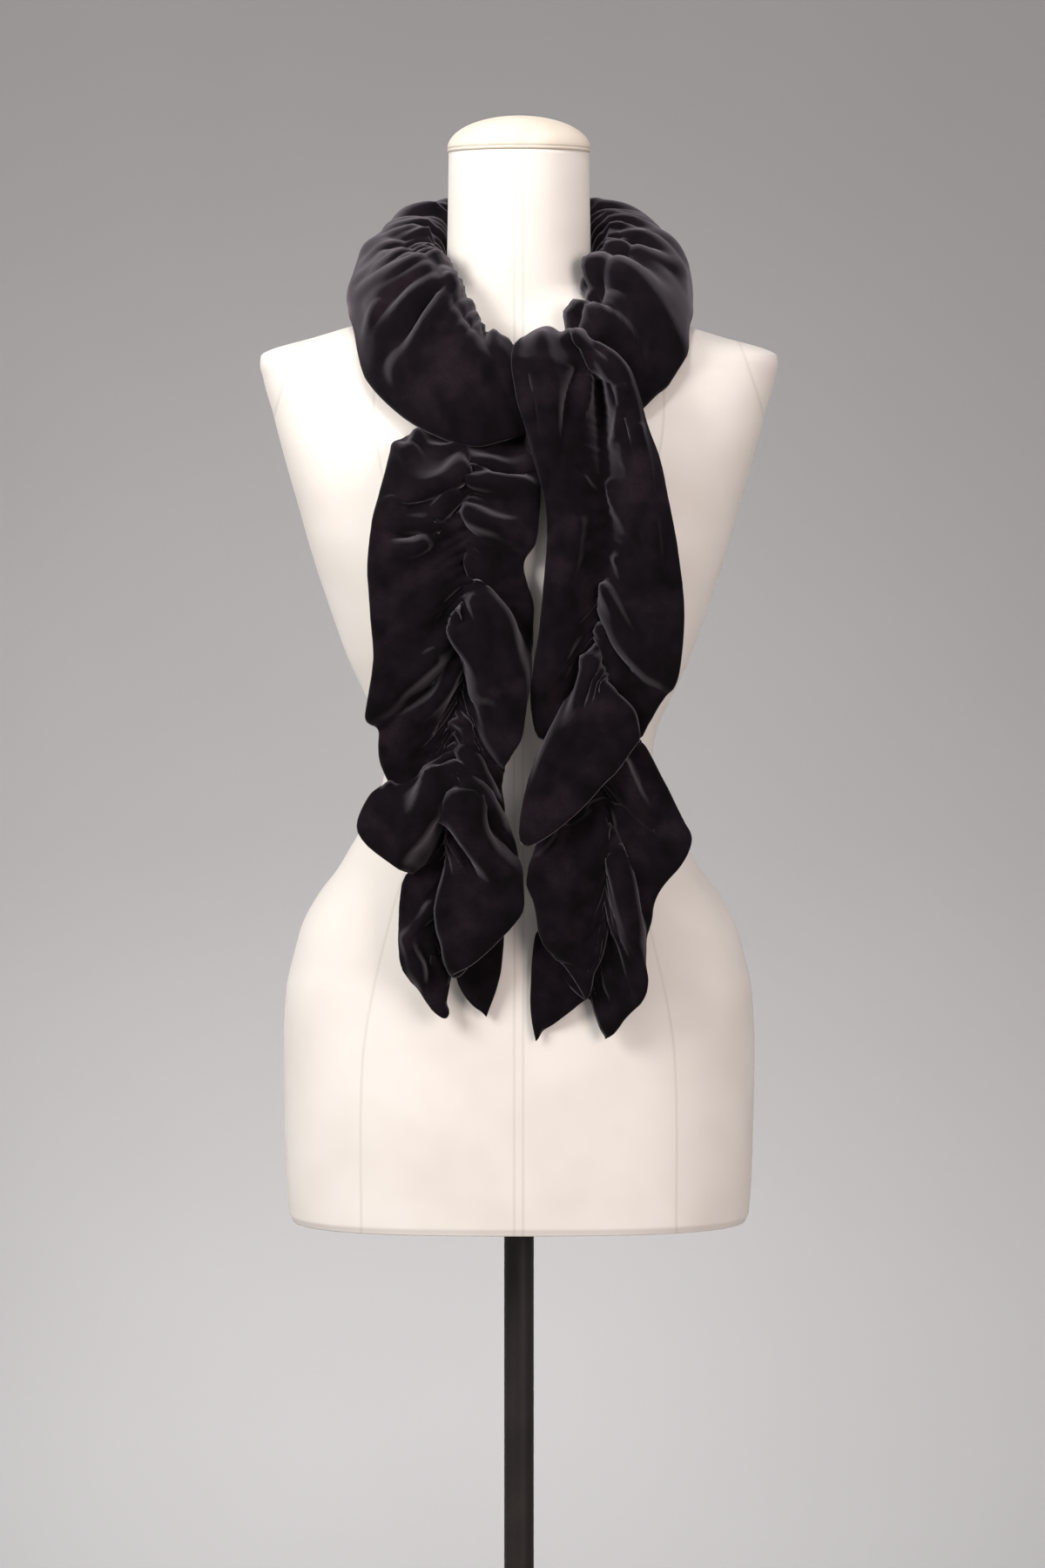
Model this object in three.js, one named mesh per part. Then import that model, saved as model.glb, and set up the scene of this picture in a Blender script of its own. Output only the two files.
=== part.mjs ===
// A ruched velvet scarf tied once round the neck of a limbless dress form on a pole stand.
// Millimetres, +Z up, -Y is the front, +X the wearer's left. The origin is on the floor under the pole.
import * as THREE from "three";

// ---- Driving dimensions ----
const WALL = 2.4; // two layers of velvet lying together
const SEAM_GAP = 0.3; // between pieces that meet
const BASE = { radius: 200, thickness: 10, bevel: 2 };
const BASE_SIDES = 64;
const POLE = { radius: 11, sides: 24 };
const NECK = { top: 1553.5, radius: 51.5 };
const CAP = { rise: 27, lip: 3, overhang: 0.9, steps: 8 };
const FORM_SIDES = 36;
const TAIL = {
  step: 5.5, // rows between folds, along the gathering line
  closest: 1.5, // rows nearer than this are left out
  across: 4, // steps from the gathering line to an edge
  gather: 1.3, // height of the small pleats
};
const LOOP = {
  step: 4.2, // degrees between sections
  across: 6, // steps from the gathering line to the edge
  gather: 1.6, // height of the small pleats
  gatherTurn: 8.4, // degrees from one pleat to the next
  gatherFade: 4, // how fast they fade across the outer wing
  girth: 95, // radius at which the large folds are measured
  foldFade: 0.6, // how much of its height a large fold loses along its length
  lift: 0.7, // share of a fold's height that goes outwards, and upwards
  rollShare: 0.65, // where the inner wing turns over
  rollDrop: 4, // how far below the crest it does so
  seamTurn: 0.45, // degrees left open at the seam at the back
};
const TURN = Math.PI / 180;

// Column names of the tables below. Every row is one section or one fold.
const FORM_COLUMNS = ["z", "half", "front", "back", "square"];
const LOOP_COLUMNS = [
  ...["turn", "innerR", "innerZ", "gatherR", "gatherZ"],
  ...["puffR", "puffZ", "edgeR", "edgeZ"],
];
const CREASE_COLUMNS = ["turnA", "acrossA", "turnB", "acrossB", "rise", "breadth"];
const FOLD_COLUMNS = ["down", "out", "midX", "midZ", "midOut", "edgeX", "edgeZ", "edgeOut"];
const LINE_COLUMNS = ["down", "x", "z"];
const HANG_COLUMNS = ["z", "y"];

const named = (columns, rows) =>
  rows.map((row) => Object.fromEntries(columns.map((name, i) => [name, row[i]])));

// The form, from its hem up: half width, depth to the front and back of the pole, and how square.
const FORM = named(FORM_COLUMNS, [
  [771, 167, 106, 110, 2.7],
  [776, 169.5, 108, 112, 2.7],
  [800, 171.5, 110, 114, 2.6],
  [850, 173, 112, 118, 2.5],
  [905, 173.5, 112, 120, 2.4],
  [945, 171, 110, 118, 2.4],
  [970, 165, 107, 114, 2.35],
  [990, 159, 103, 110, 2.3],
  [1010, 148, 98, 104, 2.3],
  [1030, 133, 93, 98, 2.3],
  [1050, 121, 89, 93, 2.3],
  [1075, 106, 84, 87, 2.2],
  [1105, 98.5, 81, 83, 2.2],
  [1130, 101, 84, 85, 2.2],
  [1155, 112, 91, 90, 2.2],
  [1185, 126, 101, 97, 2.3],
  [1220, 138.5, 112, 104, 2.3],
  [1260, 151.5, 118, 108, 2.4],
  [1295, 161.5, 114, 110, 2.4],
  [1330, 171.5, 103, 109, 2.5],
  [1365, 180.5, 86, 103, 2.6],
  [1390, 187.5, 71, 93, 2.8],
  [1402, 189.5, 64, 85, 2.9],
  [1409, 184, 60, 79, 2.8],
  [1419, 150, 57, 73, 2.6],
  [1430, 114, 55, 67, 2.5],
  [1439, 82, 53.6, 60, 2.3],
  [1447, 62, 53.2, 55, 2.1],
  [1456, 54, 52.9, 53.4, 2],
  [1480, 52.7, 52.4, 52.6, 2],
  [1515, 52, 52, 52, 2],
  [NECK.top, NECK.radius, NECK.radius, NECK.radius, 2],
]);

// The loop round the neck, by turn from the front, over the wearer's right shoulder, round the
// back and on to the front again. Each row is a section: the hidden edge of the inner wing, the
// gathering line on the crest, the top of the puffed outer wing and its lower edge, each as a
// radius from the neck's axis and a height.
const LOOP_SECTIONS = named(LOOP_COLUMNS, [
  [-12, 104, 1352, 107, 1360, 112, 1355, 113, 1350],
  [-3, 103, 1378, 107, 1390, 116, 1368, 115, 1348],
  [6, 96, 1403, 99, 1415, 119, 1384, 117, 1342],
  [15, 92, 1405, 95, 1421, 120, 1390, 119, 1338],
  [28, 75, 1425, 80, 1440, 118, 1404, 120, 1345],
  [42, 64, 1444, 71, 1456, 114, 1426, 125, 1360],
  [56, 58, 1457, 67.5, 1466, 111, 1446, 130, 1386],
  [66, 56.5, 1461, 67.5, 1471, 110, 1456, 126, 1420],
  [75, 55.6, 1465, 67.5, 1477, 108, 1465, 122, 1432],
  [90, 54.8, 1472, 68, 1488, 107, 1476, 117, 1437],
  [110, 54.2, 1486, 67, 1505, 104, 1487, 113, 1436],
  [130, 54.2, 1494, 66, 1514, 101, 1492, 104, 1426],
  [155, 54.2, 1488, 65, 1508, 95, 1486, 91, 1415],
  [180, 54.2, 1484, 65, 1504, 92, 1482, 87, 1410],
  [205, 54.2, 1488, 65, 1508, 95, 1486, 91, 1415],
  [230, 54.2, 1495, 67, 1515, 102, 1494, 105, 1426],
  [250, 54.4, 1487, 68, 1506, 107, 1490, 117, 1435],
  [270, 55, 1472, 67.5, 1490, 111, 1477, 120, 1437],
  [285, 55.6, 1465, 67, 1476, 110, 1464, 125, 1432],
  [294, 56.5, 1460, 67, 1468, 111, 1456, 128, 1420],
  [304, 58, 1455, 66.5, 1462, 110, 1446, 131, 1386],
  [310, 61, 1450, 69, 1457, 110, 1437, 127, 1374],
  [317, 75, 1436, 80, 1443, 109, 1424, 120, 1360],
  [328, 73, 1414, 77, 1426, 104, 1402, 110, 1356],
  [340, 78, 1392, 82, 1404, 96, 1386, 100, 1356],
  [354, 76, 1392, 80, 1405, 92, 1382, 95, 1362],
  [366, 77, 1398, 81, 1411, 92, 1382, 95, 1362],
]);

// Large soft folds of the loop's outer wing: from one end to the other by turn and by share of the
// way from the gathering line to the edge, with how far they stand out and how broad they are.
const LOOP_CREASES = named(CREASE_COLUMNS, [
  [15, 0, 0, 0.85, -5, 5],
  [47, 0.02, 43, 0.8, 6, 6],
  [52, 0.02, 59, 0.65, 5.5, 6],
  [62, 0.02, 78, 0.75, 6, 7],
  [74, 0.02, 96, 0.5, 5, 6],
  [88, 0.02, 112, 0.45, 5, 6],
  [100, 0.02, 124, 0.75, 7, 6.5],
  [116, 0.02, 132, 0.95, 7, 7],
  [133, 0.02, 142, 0.7, 8, 6.5],
  [148, 0.02, 153, 0.95, 9, 7.5],
  [160, 0.02, 158, 0.7, 6, 6.5],
  [172, 0.02, 168, 0.95, 9, 7.5],
  [192, 0.02, 194, 0.7, 7.5, 6.5],
  [207, 0.02, 214, 0.95, 9, 7.5],
  [223, 0.02, 233, 0.7, 8, 6.5],
  [238, 0.02, 252, 0.95, 7, 7],
  [254, 0.02, 270, 0.6, 7, 6],
  [268, 0.02, 284, 0.7, 5, 7],
  [284, 0.02, 292, 0.5, 5, 6],
  [306, 0, 298, 0.9, 8, 7],
  [328, 0, 315, 0.7, 8, 7],
  [317, 0, 307, 0.6, -4, 4],
]);

// How the tails hang: how far in front of the pole the cloth lies, by height.
const RIGHT_TAIL_HANG = named(HANG_COLUMNS, [
  [1360, 106],
  [1330, 114],
  [1300, 124],
  [1250, 129],
  [1150, 130],
  [1050, 125],
  [930, 119],
]);
const LEFT_TAIL_HANG = named(HANG_COLUMNS, [
  [1420, 105],
  [1412, 112],
  [1398, 122],
  [1350, 127],
  [1250, 130],
  [1150, 131],
  [1050, 126],
  [910, 118],
]);

// The gathering line down the middle of each tail, by how far down it from the tail's top.
const RIGHT_TAIL_LINE = named(LINE_COLUMNS, [
  [0, -36, 1360],
  [51, -38, 1309],
  [131, -37, 1229],
  [193, -42, 1167],
  [230, -44, 1130],
  [261, -46, 1099],
  [311, -48, 1049],
  [361, -48, 999],
  [392, -46, 968],
]);
const LEFT_TAIL_LINE = named(LINE_COLUMNS, [
  [-10, 30, 1407],
  [5, 33, 1415],
  [30, 51, 1390],
  [67, 59, 1353],
  [111, 63, 1309],
  [160, 63, 1260],
  [198, 58, 1222],
  [235, 56, 1185],
  [290, 58, 1130],
  [340, 63, 1080],
  [383, 63, 1037],
  [433, 57, 987],
  [476, 51, 944],
]);

// The folds of each wing of the tails. A fold starts so far down the gathering line, runs through
// a middle point and ends on the wing's edge; "out" is how far it stands forward of the hanging
// cloth, so ridges and troughs follow one another.
const RIGHT_TAIL_SIDE_WING = named(FOLD_COLUMNS, [
  [8, -10, -62, 1347, -10, -82, 1344, -14],
  [22, -8, -62, 1336, -2, -91, 1340, -10],
  [27, -3, -59, 1331, 3, -92, 1334, 0],
  [34, 4, -62, 1312, 13, -96, 1315, 6],
  [42, 0, -69, 1302, 5, -100, 1302, 4],
  [48, 4, -67, 1289, 15, -104, 1287, 13],
  [63, 0, -72, 1277, 9, -106, 1274, 9],
  [76, 2, -77, 1267, 14, -107, 1253, 12],
  [100, -1, -69, 1241, 15, -106, 1222, 12],
  [131, -2, -72, 1203, 13, -103, 1188, 12],
  [151, 1, -67, 1187, 17, -109, 1147, 21],
  [162, -4, -67, 1170, 1, -100, 1138, 8],
  [170, 0, -63, 1160, 11, -100, 1126, 10],
  [200, -3, -72, 1123, 4, -98, 1111, 4],
  [224, -4, -72, 1104, -1, -89, 1091, -3],
  [238, 0, -80, 1101, 4, -104, 1094, 5],
  [249, 4, -84, 1087, 11, -116, 1064, 14],
  [255, 9, -72, 1074, 21, -89, 1041, 22],
  [265, 1, -65, 1068, 5, -79, 1035, 6],
  [277, -3, -62, 1054, -4, -74, 1032, -8],
  [292, -1, -67, 1044, -3, -83, 1029, 0],
  [314, 0, -69, 1015, 5, -86, 998, 6],
  [342, 0, -67, 987, 9, -83, 967, 9],
  [361, -2, -64, 972, 4, -70, 949, 4],
  [376, 1, -58, 957, 6, -55, 931, 6],
  [390, 0, -49, 956, 2, -51, 934, 3],
]);
const RIGHT_TAIL_INNER_WING = named(FOLD_COLUMNS, [
  [8, -10, -13, 1350, -10, 6, 1350, -10],
  [22, -8, -15, 1335, -2, 5, 1338, -2],
  [27, -3, -13, 1331, 2, 11, 1332, 3],
  [32, 3, -13, 1325, 9, 14, 1324, 8],
  [40, 0, -11, 1319, 4, 16, 1318, 6],
  [46, 4, -10, 1312, 11, 16, 1308, 9],
  [55, 0, -11, 1301, 3, 15, 1291, 4],
  [69, 4, -15, 1283, 12, 12, 1270, 8],
  [83, 0, -17, 1267, 2, 4, 1256, -1],
  [100, 3, -18, 1244, 4, 6, 1240, -5],
  [110, 0, -10, 1230, -3, 11, 1224, -5],
  [116, 0, -7, 1209, -4, 9, 1190, -6],
  [122, 5, -8, 1208, 15, 5, 1160, 16],
  [131, 5, -17, 1182, 21, 3, 1133, 18],
  [141, 5, -27, 1174, 16, -6, 1118, 14],
  [178, -2, -31, 1147, 2, -10, 1108, 2],
  [216, 4, -30, 1123, 7, -12, 1097, 1],
  [227, 0, -30, 1111, 0, -11, 1088, -4],
  [236, 4, -25, 1105, 9, -10, 1079, 2],
  [244, 0, -27, 1095, 0, -9, 1068, -2],
  [252, 7, -25, 1088, 13, -2, 1054, 8],
  [261, 2, -26, 1073, 3, 1, 1041, 5],
  [270, 6, -25, 1060, 19, 2, 1030, 14],
  [282, 5, -21, 1030, 17, 3, 1008, 16],
  [294, 5, -31, 1017, 19, -15, 986, 18],
  [306, 7, -43, 1011, 21, -33, 970, 20],
  [316, 7, -57, 1009, 19, -47, 963, 18],
  [325, -1, -51, 998, 8, -40, 962, 6],
  [343, -5, -33, 1000, -6, -13, 996, -7],
  [367, -3, -30, 972, -3, -13, 962, -3],
  [390, 0, -40, 950, 1, -23, 931, 0],
]);
const LEFT_TAIL_INNER_WING = named(FOLD_COLUMNS, [
  [-10, -34, 16, 1406, -34, 2, 1407, -34],
  [5, 0, 18, 1418, 0, 0, 1416, 0],
  [21, 2, 20, 1401, 9, -5, 1403, 6],
  [55, -4, 24, 1377, 13, -2, 1374, 8],
  [86, -6, 27, 1343, 12, 6, 1344, 8],
  [123, -6, 37, 1291, 10, 19, 1297, 8],
  [160, -6, 37, 1247, 11, 19, 1250, 9],
  [191, -6, 34, 1204, 11, 14, 1207, 10],
  [205, -5, 29, 1176, 10, 8, 1160, 10],
  [211, -6, 30, 1160, 4, 15, 1126, 6],
  [217, -6, 45, 1173, 0, 34, 1153, -3],
  [222, 3, 34, 1153, 15, 8, 1105, 13],
  [228, 6, 34, 1130, 20, 0, 1055, 20],
  [236, 8, 45, 1130, 24, 30, 1069, 24],
  [245, 9, 58, 1142, 24, 58, 1097, 24],
  [253, 9, 72, 1160, 19, 84, 1128, 18],
  [267, 0, 70, 1146, 6, 78, 1132, 4],
  [290, -4, 58, 1116, -3, 58, 1110, -5],
  [321, -3, 44, 1088, -2, 27, 1083, -6],
  [343, 4, 34, 1058, 10, 6, 1036, 8],
  [352, 5, 40, 1030, 14, 11, 1012, 12],
  [363, 4, 43, 999, 14, 16, 988, 12],
  [383, 2, 52, 987, 12, 34, 967, 10],
  [408, 0, 57, 981, 8, 47, 944, 8],
  [424, -4, 45, 972, -1, 28, 962, -5],
  [436, -5, 34, 982, -6, 13, 993, -8],
  [452, -3, 30, 954, -3, 8, 944, -4],
  [474, 0, 30, 931, 0, 12, 913, 0],
]);
const LEFT_TAIL_SIDE_WING = named(FOLD_COLUMNS, [
  [-10, -34, 33, 1406, -34, 36, 1404, -34],
  [5, 0, 42, 1413, 1, 48, 1411, 0],
  [15, 0, 58, 1402, 5, 68, 1401, 3],
  [21, -2, 63, 1393, 10, 79, 1390, 6],
  [49, -6, 72, 1366, 10, 88, 1365, 6],
  [74, -7, 78, 1343, 11, 94, 1348, 6],
  [111, -7, 86, 1309, 12, 106, 1306, 7],
  [148, -6, 90, 1266, 13, 113, 1263, 9],
  [176, -4, 90, 1229, 12, 118, 1221, 10],
  [191, 2, 80, 1199, 14, 113, 1174, 14],
  [201, -4, 78, 1188, 4, 105, 1162, 6],
  [211, 2, 74, 1179, 9, 98, 1151, 6],
  [225, -4, 76, 1160, 2, 89, 1134, 0],
  [253, -6, 78, 1142, -6, 85, 1128, -7],
  [290, -4, 80, 1117, -4, 92, 1123, -6],
  [309, 2, 85, 1088, 10, 116, 1076, 6],
  [325, 0, 90, 1071, 6, 123, 1059, 9],
  [337, 4, 97, 1058, 13, 116, 1042, 13],
  [346, 0, 83, 1043, 5, 98, 1018, 5],
  [352, 4, 77, 1042, 12, 95, 998, 5],
  [357, 0, 78, 1018, 4, 89, 978, 0],
  [363, 2, 78, 1015, 13, 92, 957, 12],
  [383, 3, 76, 987, 10, 89, 944, 10],
  [408, 0, 69, 968, 5, 77, 931, 6],
  [445, -1, 63, 950, 3, 69, 920, 4],
  [474, 0, 57, 925, 1, 62, 915, 2],
]);

const velvet = () =>
  new THREE.MeshStandardMaterial({ color: 0x0b090a, roughness: 0.95, metalness: 0 });
const canvas = () =>
  new THREE.MeshStandardMaterial({ color: 0xe9ddd0, roughness: 0.85, metalness: 0 });
const capLeather = () =>
  new THREE.MeshStandardMaterial({ color: 0xe6d8c2, roughness: 0.7, metalness: 0 });
const blackPaint = () =>
  new THREE.MeshStandardMaterial({ color: 0x1c1716, roughness: 0.45, metalness: 0.3 });

// ---- Interpolation ----

// Smooth value of one column of a table at a place along its first column.
function along(table, column, at) {
  const key = Object.keys(table[0])[0];
  const rising = table[table.length - 1][key] > table[0][key] ? 1 : -1;
  let i = 0;
  while (i < table.length - 2 && rising * table[i + 1][key] < rising * at) i++;
  const [a, b] = [table[i], table[i + 1]];
  const before = table[Math.max(i - 1, 0)][column];
  const after = table[Math.min(i + 2, table.length - 1)][column];
  const t = THREE.MathUtils.clamp((at - a[key]) / (b[key] - a[key]), 0, 1);
  const slopeIn = (b[column] - before) / 2;
  const slopeOut = (after - a[column]) / 2;
  return (
    a[column] * (2 * t ** 3 - 3 * t ** 2 + 1) +
    slopeIn * (t ** 3 - 2 * t ** 2 + t) +
    b[column] * (3 * t ** 2 - 2 * t ** 3) +
    slopeOut * (t ** 3 - t ** 2)
  );
}

// Point on the parabola that passes through three points at shares 0, 1/2 and 1.
function bowed(start, middle, end, share) {
  const point = new THREE.Vector3();
  point.addScaledVector(start, (1 - share) * (1 - 2 * share));
  point.addScaledVector(middle, 4 * share * (1 - share));
  return point.addScaledVector(end, share * (2 * share - 1));
}

// ---- Solids ----

function closedGeometry(points, triangles) {
  const geometry = new THREE.BufferGeometry().setFromPoints(points);
  let volume = 0;
  for (const [a, b, c] of triangles)
    volume += points[a].dot(new THREE.Vector3().crossVectors(points[b], points[c]));
  geometry.setIndex(triangles.flatMap(([a, b, c]) => (volume > 0 ? [a, b, c] : [a, c, b])));
  geometry.computeVertexNormals();
  return geometry;
}

// Two triangles for each cell of a grid of vertex numbers.
function gridTriangles(rows, columns, number) {
  const triangles = [];
  for (let i = 0; i < rows - 1; i++)
    for (let j = 0; j < columns - 1; j++) {
      const [a, b, c, d] = [number(i, j), number(i + 1, j), number(i + 1, j + 1), number(i, j + 1)];
      triangles.push([a, b, c], [a, c, d]);
    }
  return triangles;
}

// A wall of even thickness on a grid of points: two skins joined round the rim. The grid's first
// and last rows only give the next ones their slope, so pieces cut from one cloth meet square.
function clothWall(grid) {
  const rows = grid.length - 2;
  const columns = grid[0].length;
  const skins = [[], []];
  for (let i = 1; i <= rows; i++)
    for (let j = 0; j < columns; j++) {
      const down = grid[i + 1][j].clone().sub(grid[i - 1][j]);
      const before = grid[i][Math.max(j - 1, 0)];
      const across = grid[i][Math.min(j + 1, columns - 1)].clone().sub(before);
      const offset = down.cross(across).setLength(WALL / 2);
      skins[0].push(grid[i][j].clone().add(offset));
      skins[1].push(grid[i][j].clone().sub(offset));
    }
  const front = (i, j) => i * columns + j;
  const back = (i, j) => rows * columns + front(i, j);
  const rim = [];
  for (let j = 0; j < columns; j++) rim.push([0, j]);
  for (let i = 1; i < rows; i++) rim.push([i, columns - 1]);
  for (let j = columns - 2; j >= 0; j--) rim.push([rows - 1, j]);
  for (let i = rows - 2; i >= 0; i--) rim.push([i, 0]);
  const edges = rim.slice(1).flatMap(([i, j], k) => {
    const [m, n] = rim[k];
    return [
      [front(m, n), back(i, j), back(m, n)],
      [front(m, n), front(i, j), back(i, j)],
    ];
  });
  const backSkin = gridTriangles(rows, columns, back).map(([a, b, c]) => [a, c, b]);
  return closedGeometry(skins.flat(), [...gridTriangles(rows, columns, front), ...backSkin, ...edges]);
}

// ---- The dress form ----

function formSection(row) {
  return Array.from({ length: FORM_SIDES }, (_, i) => {
    const angle = (2 * Math.PI * i) / FORM_SIDES;
    const round = (value) => Math.sign(value) * Math.abs(value) ** (2 / row.square);
    const depth = Math.sin(angle) < 0 ? row.front : row.back;
    return new THREE.Vector3(row.half * round(Math.cos(angle)), depth * round(Math.sin(angle)), row.z);
  });
}

function torso() {
  const points = FORM.flatMap(formSection);
  const ring = (i, j) => i * FORM_SIDES + (j % FORM_SIDES);
  const triangles = gridTriangles(FORM.length, FORM_SIDES + 1, ring);
  for (const [level, order] of [
    [0, 1],
    [FORM.length - 1, -1],
  ]) {
    const hub = points.push(new THREE.Vector3(0, 0, FORM[level].z)) - 1;
    for (let j = 0; j < FORM_SIDES; j++) {
      const pair = [ring(level, j), ring(level, j + 1)];
      triangles.push(order > 0 ? [hub, pair[0], pair[1]] : [hub, pair[1], pair[0]]);
    }
  }
  return new THREE.Mesh(closedGeometry(points, triangles), canvas());
}

function turned(profile, sides) {
  const points = profile.map(([radius, z]) => new THREE.Vector2(radius, z));
  return new THREE.LatheGeometry(points, sides).rotateX(Math.PI / 2);
}

function neckCap() {
  const radius = NECK.radius + CAP.overhang;
  const seam = NECK.top + SEAM_GAP;
  const dome = Array.from({ length: CAP.steps }, (_, i) => {
    const angle = (i * Math.PI) / 2 / CAP.steps;
    return [radius * Math.cos(angle), seam + CAP.lip + (CAP.rise - CAP.lip) * Math.sin(angle)];
  });
  const profile = [[0, seam], [radius, seam], ...dome, [0, seam + CAP.rise]];
  return new THREE.Mesh(turned(profile, FORM_SIDES), capLeather());
}

function pole() {
  const foot = BASE.thickness + SEAM_GAP;
  const height = FORM[0].z - SEAM_GAP - foot;
  const shaft = new THREE.CylinderGeometry(POLE.radius, POLE.radius, height, POLE.sides);
  return new THREE.Mesh(shaft.rotateX(Math.PI / 2).translate(0, 0, foot + height / 2), blackPaint());
}

function base() {
  const { radius, thickness, bevel } = BASE;
  const profile = [
    [0, 0],
    [radius, 0],
    [radius, thickness - bevel],
    [radius - bevel, thickness],
    [0, thickness],
  ];
  return new THREE.Mesh(turned(profile, BASE_SIDES), blackPaint());
}

// ---- The loop round the neck ----

const roundNeck = (turn, radius, z) =>
  new THREE.Vector3(-radius * Math.sin(turn * TURN), -radius * Math.cos(turn * TURN), z);

// How far the large folds stand out at a place on the outer wing.
function foldRise(turn, across) {
  const flat = (t, a) => new THREE.Vector2(t * TURN * LOOP.girth, a * LOOP.girth);
  const here = flat(turn, across);
  return LOOP_CREASES.reduce((sum, crease) => {
    const start = flat(crease.turnA, crease.acrossA);
    const run = flat(crease.turnB, crease.acrossB).sub(start);
    const share = THREE.MathUtils.clamp(here.clone().sub(start).dot(run) / run.lengthSq(), 0, 1);
    const away = here.distanceTo(start.addScaledVector(run, share));
    const height = crease.rise * (1 - LOOP.foldFade * share);
    return sum + height * Math.exp(-((away / crease.breadth) ** 2));
  }, 0);
}

// One section of the loop, from the hidden edge of the inner wing, up to the gathering line on the
// crest and down the puffed outer wing to its edge.
function loopSection(turn) {
  const value = (column) => along(LOOP_SECTIONS, column, turn);
  const pleat = LOOP.gather * Math.cos((2 * Math.PI * turn) / LOOP.gatherTurn);
  const crest = value("gatherZ");
  const inner = roundNeck(turn, value("innerR"), value("innerZ"));
  const rollIn = THREE.MathUtils.lerp(value("gatherR"), value("innerR"), LOOP.rollShare);
  const shoulder = roundNeck(turn, rollIn, crest - LOOP.rollDrop + pleat / 2);
  const gather = roundNeck(turn, value("gatherR"), crest + pleat);
  const puff = roundNeck(turn, value("puffR"), value("puffZ"));
  const edge = roundNeck(turn, value("edgeR"), value("edgeZ"));
  const outward = roundNeck(turn, 1, 0);
  const upward = new THREE.Vector3(0, 0, 1);
  const wing = Array.from({ length: LOOP.across }, (_, k) => {
    const share = (k + 1) / LOOP.across;
    const point = bowed(gather, puff, edge, share);
    const faded = (pleat / 2) * Math.exp(-LOOP.gatherFade * share);
    const lift = LOOP.lift * (foldRise(turn, share) - faded);
    return point.addScaledVector(outward, lift).addScaledVector(upward, lift * (1 - share));
  });
  return [inner, shoulder, gather, ...wing];
}

function loopStretch(from, to) {
  const steps = Math.round((to - from) / LOOP.step);
  const grid = Array.from({ length: steps + 3 }, (_, i) =>
    loopSection(from + ((to - from) * (i - 1)) / steps),
  );
  return new THREE.Mesh(clothWall(grid), velvet());
}

// ---- The tails ----

// A point of a tail: across, height and how far forward of the hanging cloth.
function hung(tail, x, z, out) {
  return new THREE.Vector3(x, -along(tail.hang, "y", z) - out, z);
}

// Point of one wing on the fold that starts so far down the gathering line.
function wingPoint(tail, wing, down, pleat, share) {
  const value = (column) => along(wing, column, down);
  const root = (column) => along(tail.line, column, down);
  const start = hung(tail, root("x"), root("z"), value("out") + pleat);
  const middle = hung(tail, value("midX"), value("midZ"), value("midOut"));
  const end = hung(tail, value("edgeX"), value("edgeZ"), value("edgeOut"));
  return bowed(start, middle, end, share);
}

// Places of a tail's rows down its gathering line: every fold of both wings, and steps between.
function tailRows(tail) {
  const folds = tail.wings.flat().map((row) => row.down);
  const places = [];
  for (const down of folds.sort((a, b) => a - b)) {
    const last = places[places.length - 1] ?? down - TAIL.step;
    const steps = Math.floor((down - last) / TAIL.step);
    for (let i = 1; i < steps; i++) places.push(last + ((down - last) * i) / steps);
    if (down - last > TAIL.closest) places.push(down);
  }
  return places;
}

function tailStretch(tail) {
  const shares = Array.from({ length: TAIL.across }, (_, k) => (k + 1) / TAIL.across);
  const rows = tailRows(tail).map((down, row) => {
    const pleat = (row % 2 ? 1 : -1) * TAIL.gather;
    const [left, right] = tail.wings.map((wing) =>
      shares.map((share) => wingPoint(tail, wing, down, pleat, share)),
    );
    return [...left.reverse(), wingPoint(tail, tail.wings[0], down, pleat, 0), ...right];
  });
  return new THREE.Mesh(clothWall([rows[0], ...rows, rows[rows.length - 1]]), velvet());
}

const rightTail = {
  hang: RIGHT_TAIL_HANG,
  line: RIGHT_TAIL_LINE,
  wings: [RIGHT_TAIL_SIDE_WING, RIGHT_TAIL_INNER_WING],
};
const leftTail = {
  hang: LEFT_TAIL_HANG,
  line: LEFT_TAIL_LINE,
  wings: [LEFT_TAIL_INNER_WING, LEFT_TAIL_SIDE_WING],
};

const pieces = {
  torso: torso(),
  neck_cap: neckCap(),
  pole: pole(),
  base: base(),
  scarf_loop_right: loopStretch(LOOP_SECTIONS[0].turn, 180 - LOOP.seamTurn / 2),
  scarf_loop_left: loopStretch(180 + LOOP.seamTurn / 2, LOOP_SECTIONS.at(-1).turn),
  scarf_tail_right: tailStretch(rightTail),
  scarf_tail_left: tailStretch(leftTail),
};

const dressForm = new THREE.Group();
const scarf = new THREE.Group();
for (const [name, mesh] of Object.entries(pieces)) {
  mesh.name = name;
  (name.startsWith("scarf") ? scarf : dressForm).add(mesh);
}

const part = new THREE.Group();
part.add(dressForm, scarf);

export default part;
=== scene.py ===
"""Looks of a ruched velvet scarf tied round the neck of a limbless dress form.

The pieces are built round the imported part: the stand and its padded form first, then the scarf as
three stretches of a flat velvet tube. Lengths are in millimetres unless a name says otherwise.
"""

import logging
import math
from dataclasses import dataclass, replace
from enum import Enum

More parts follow.
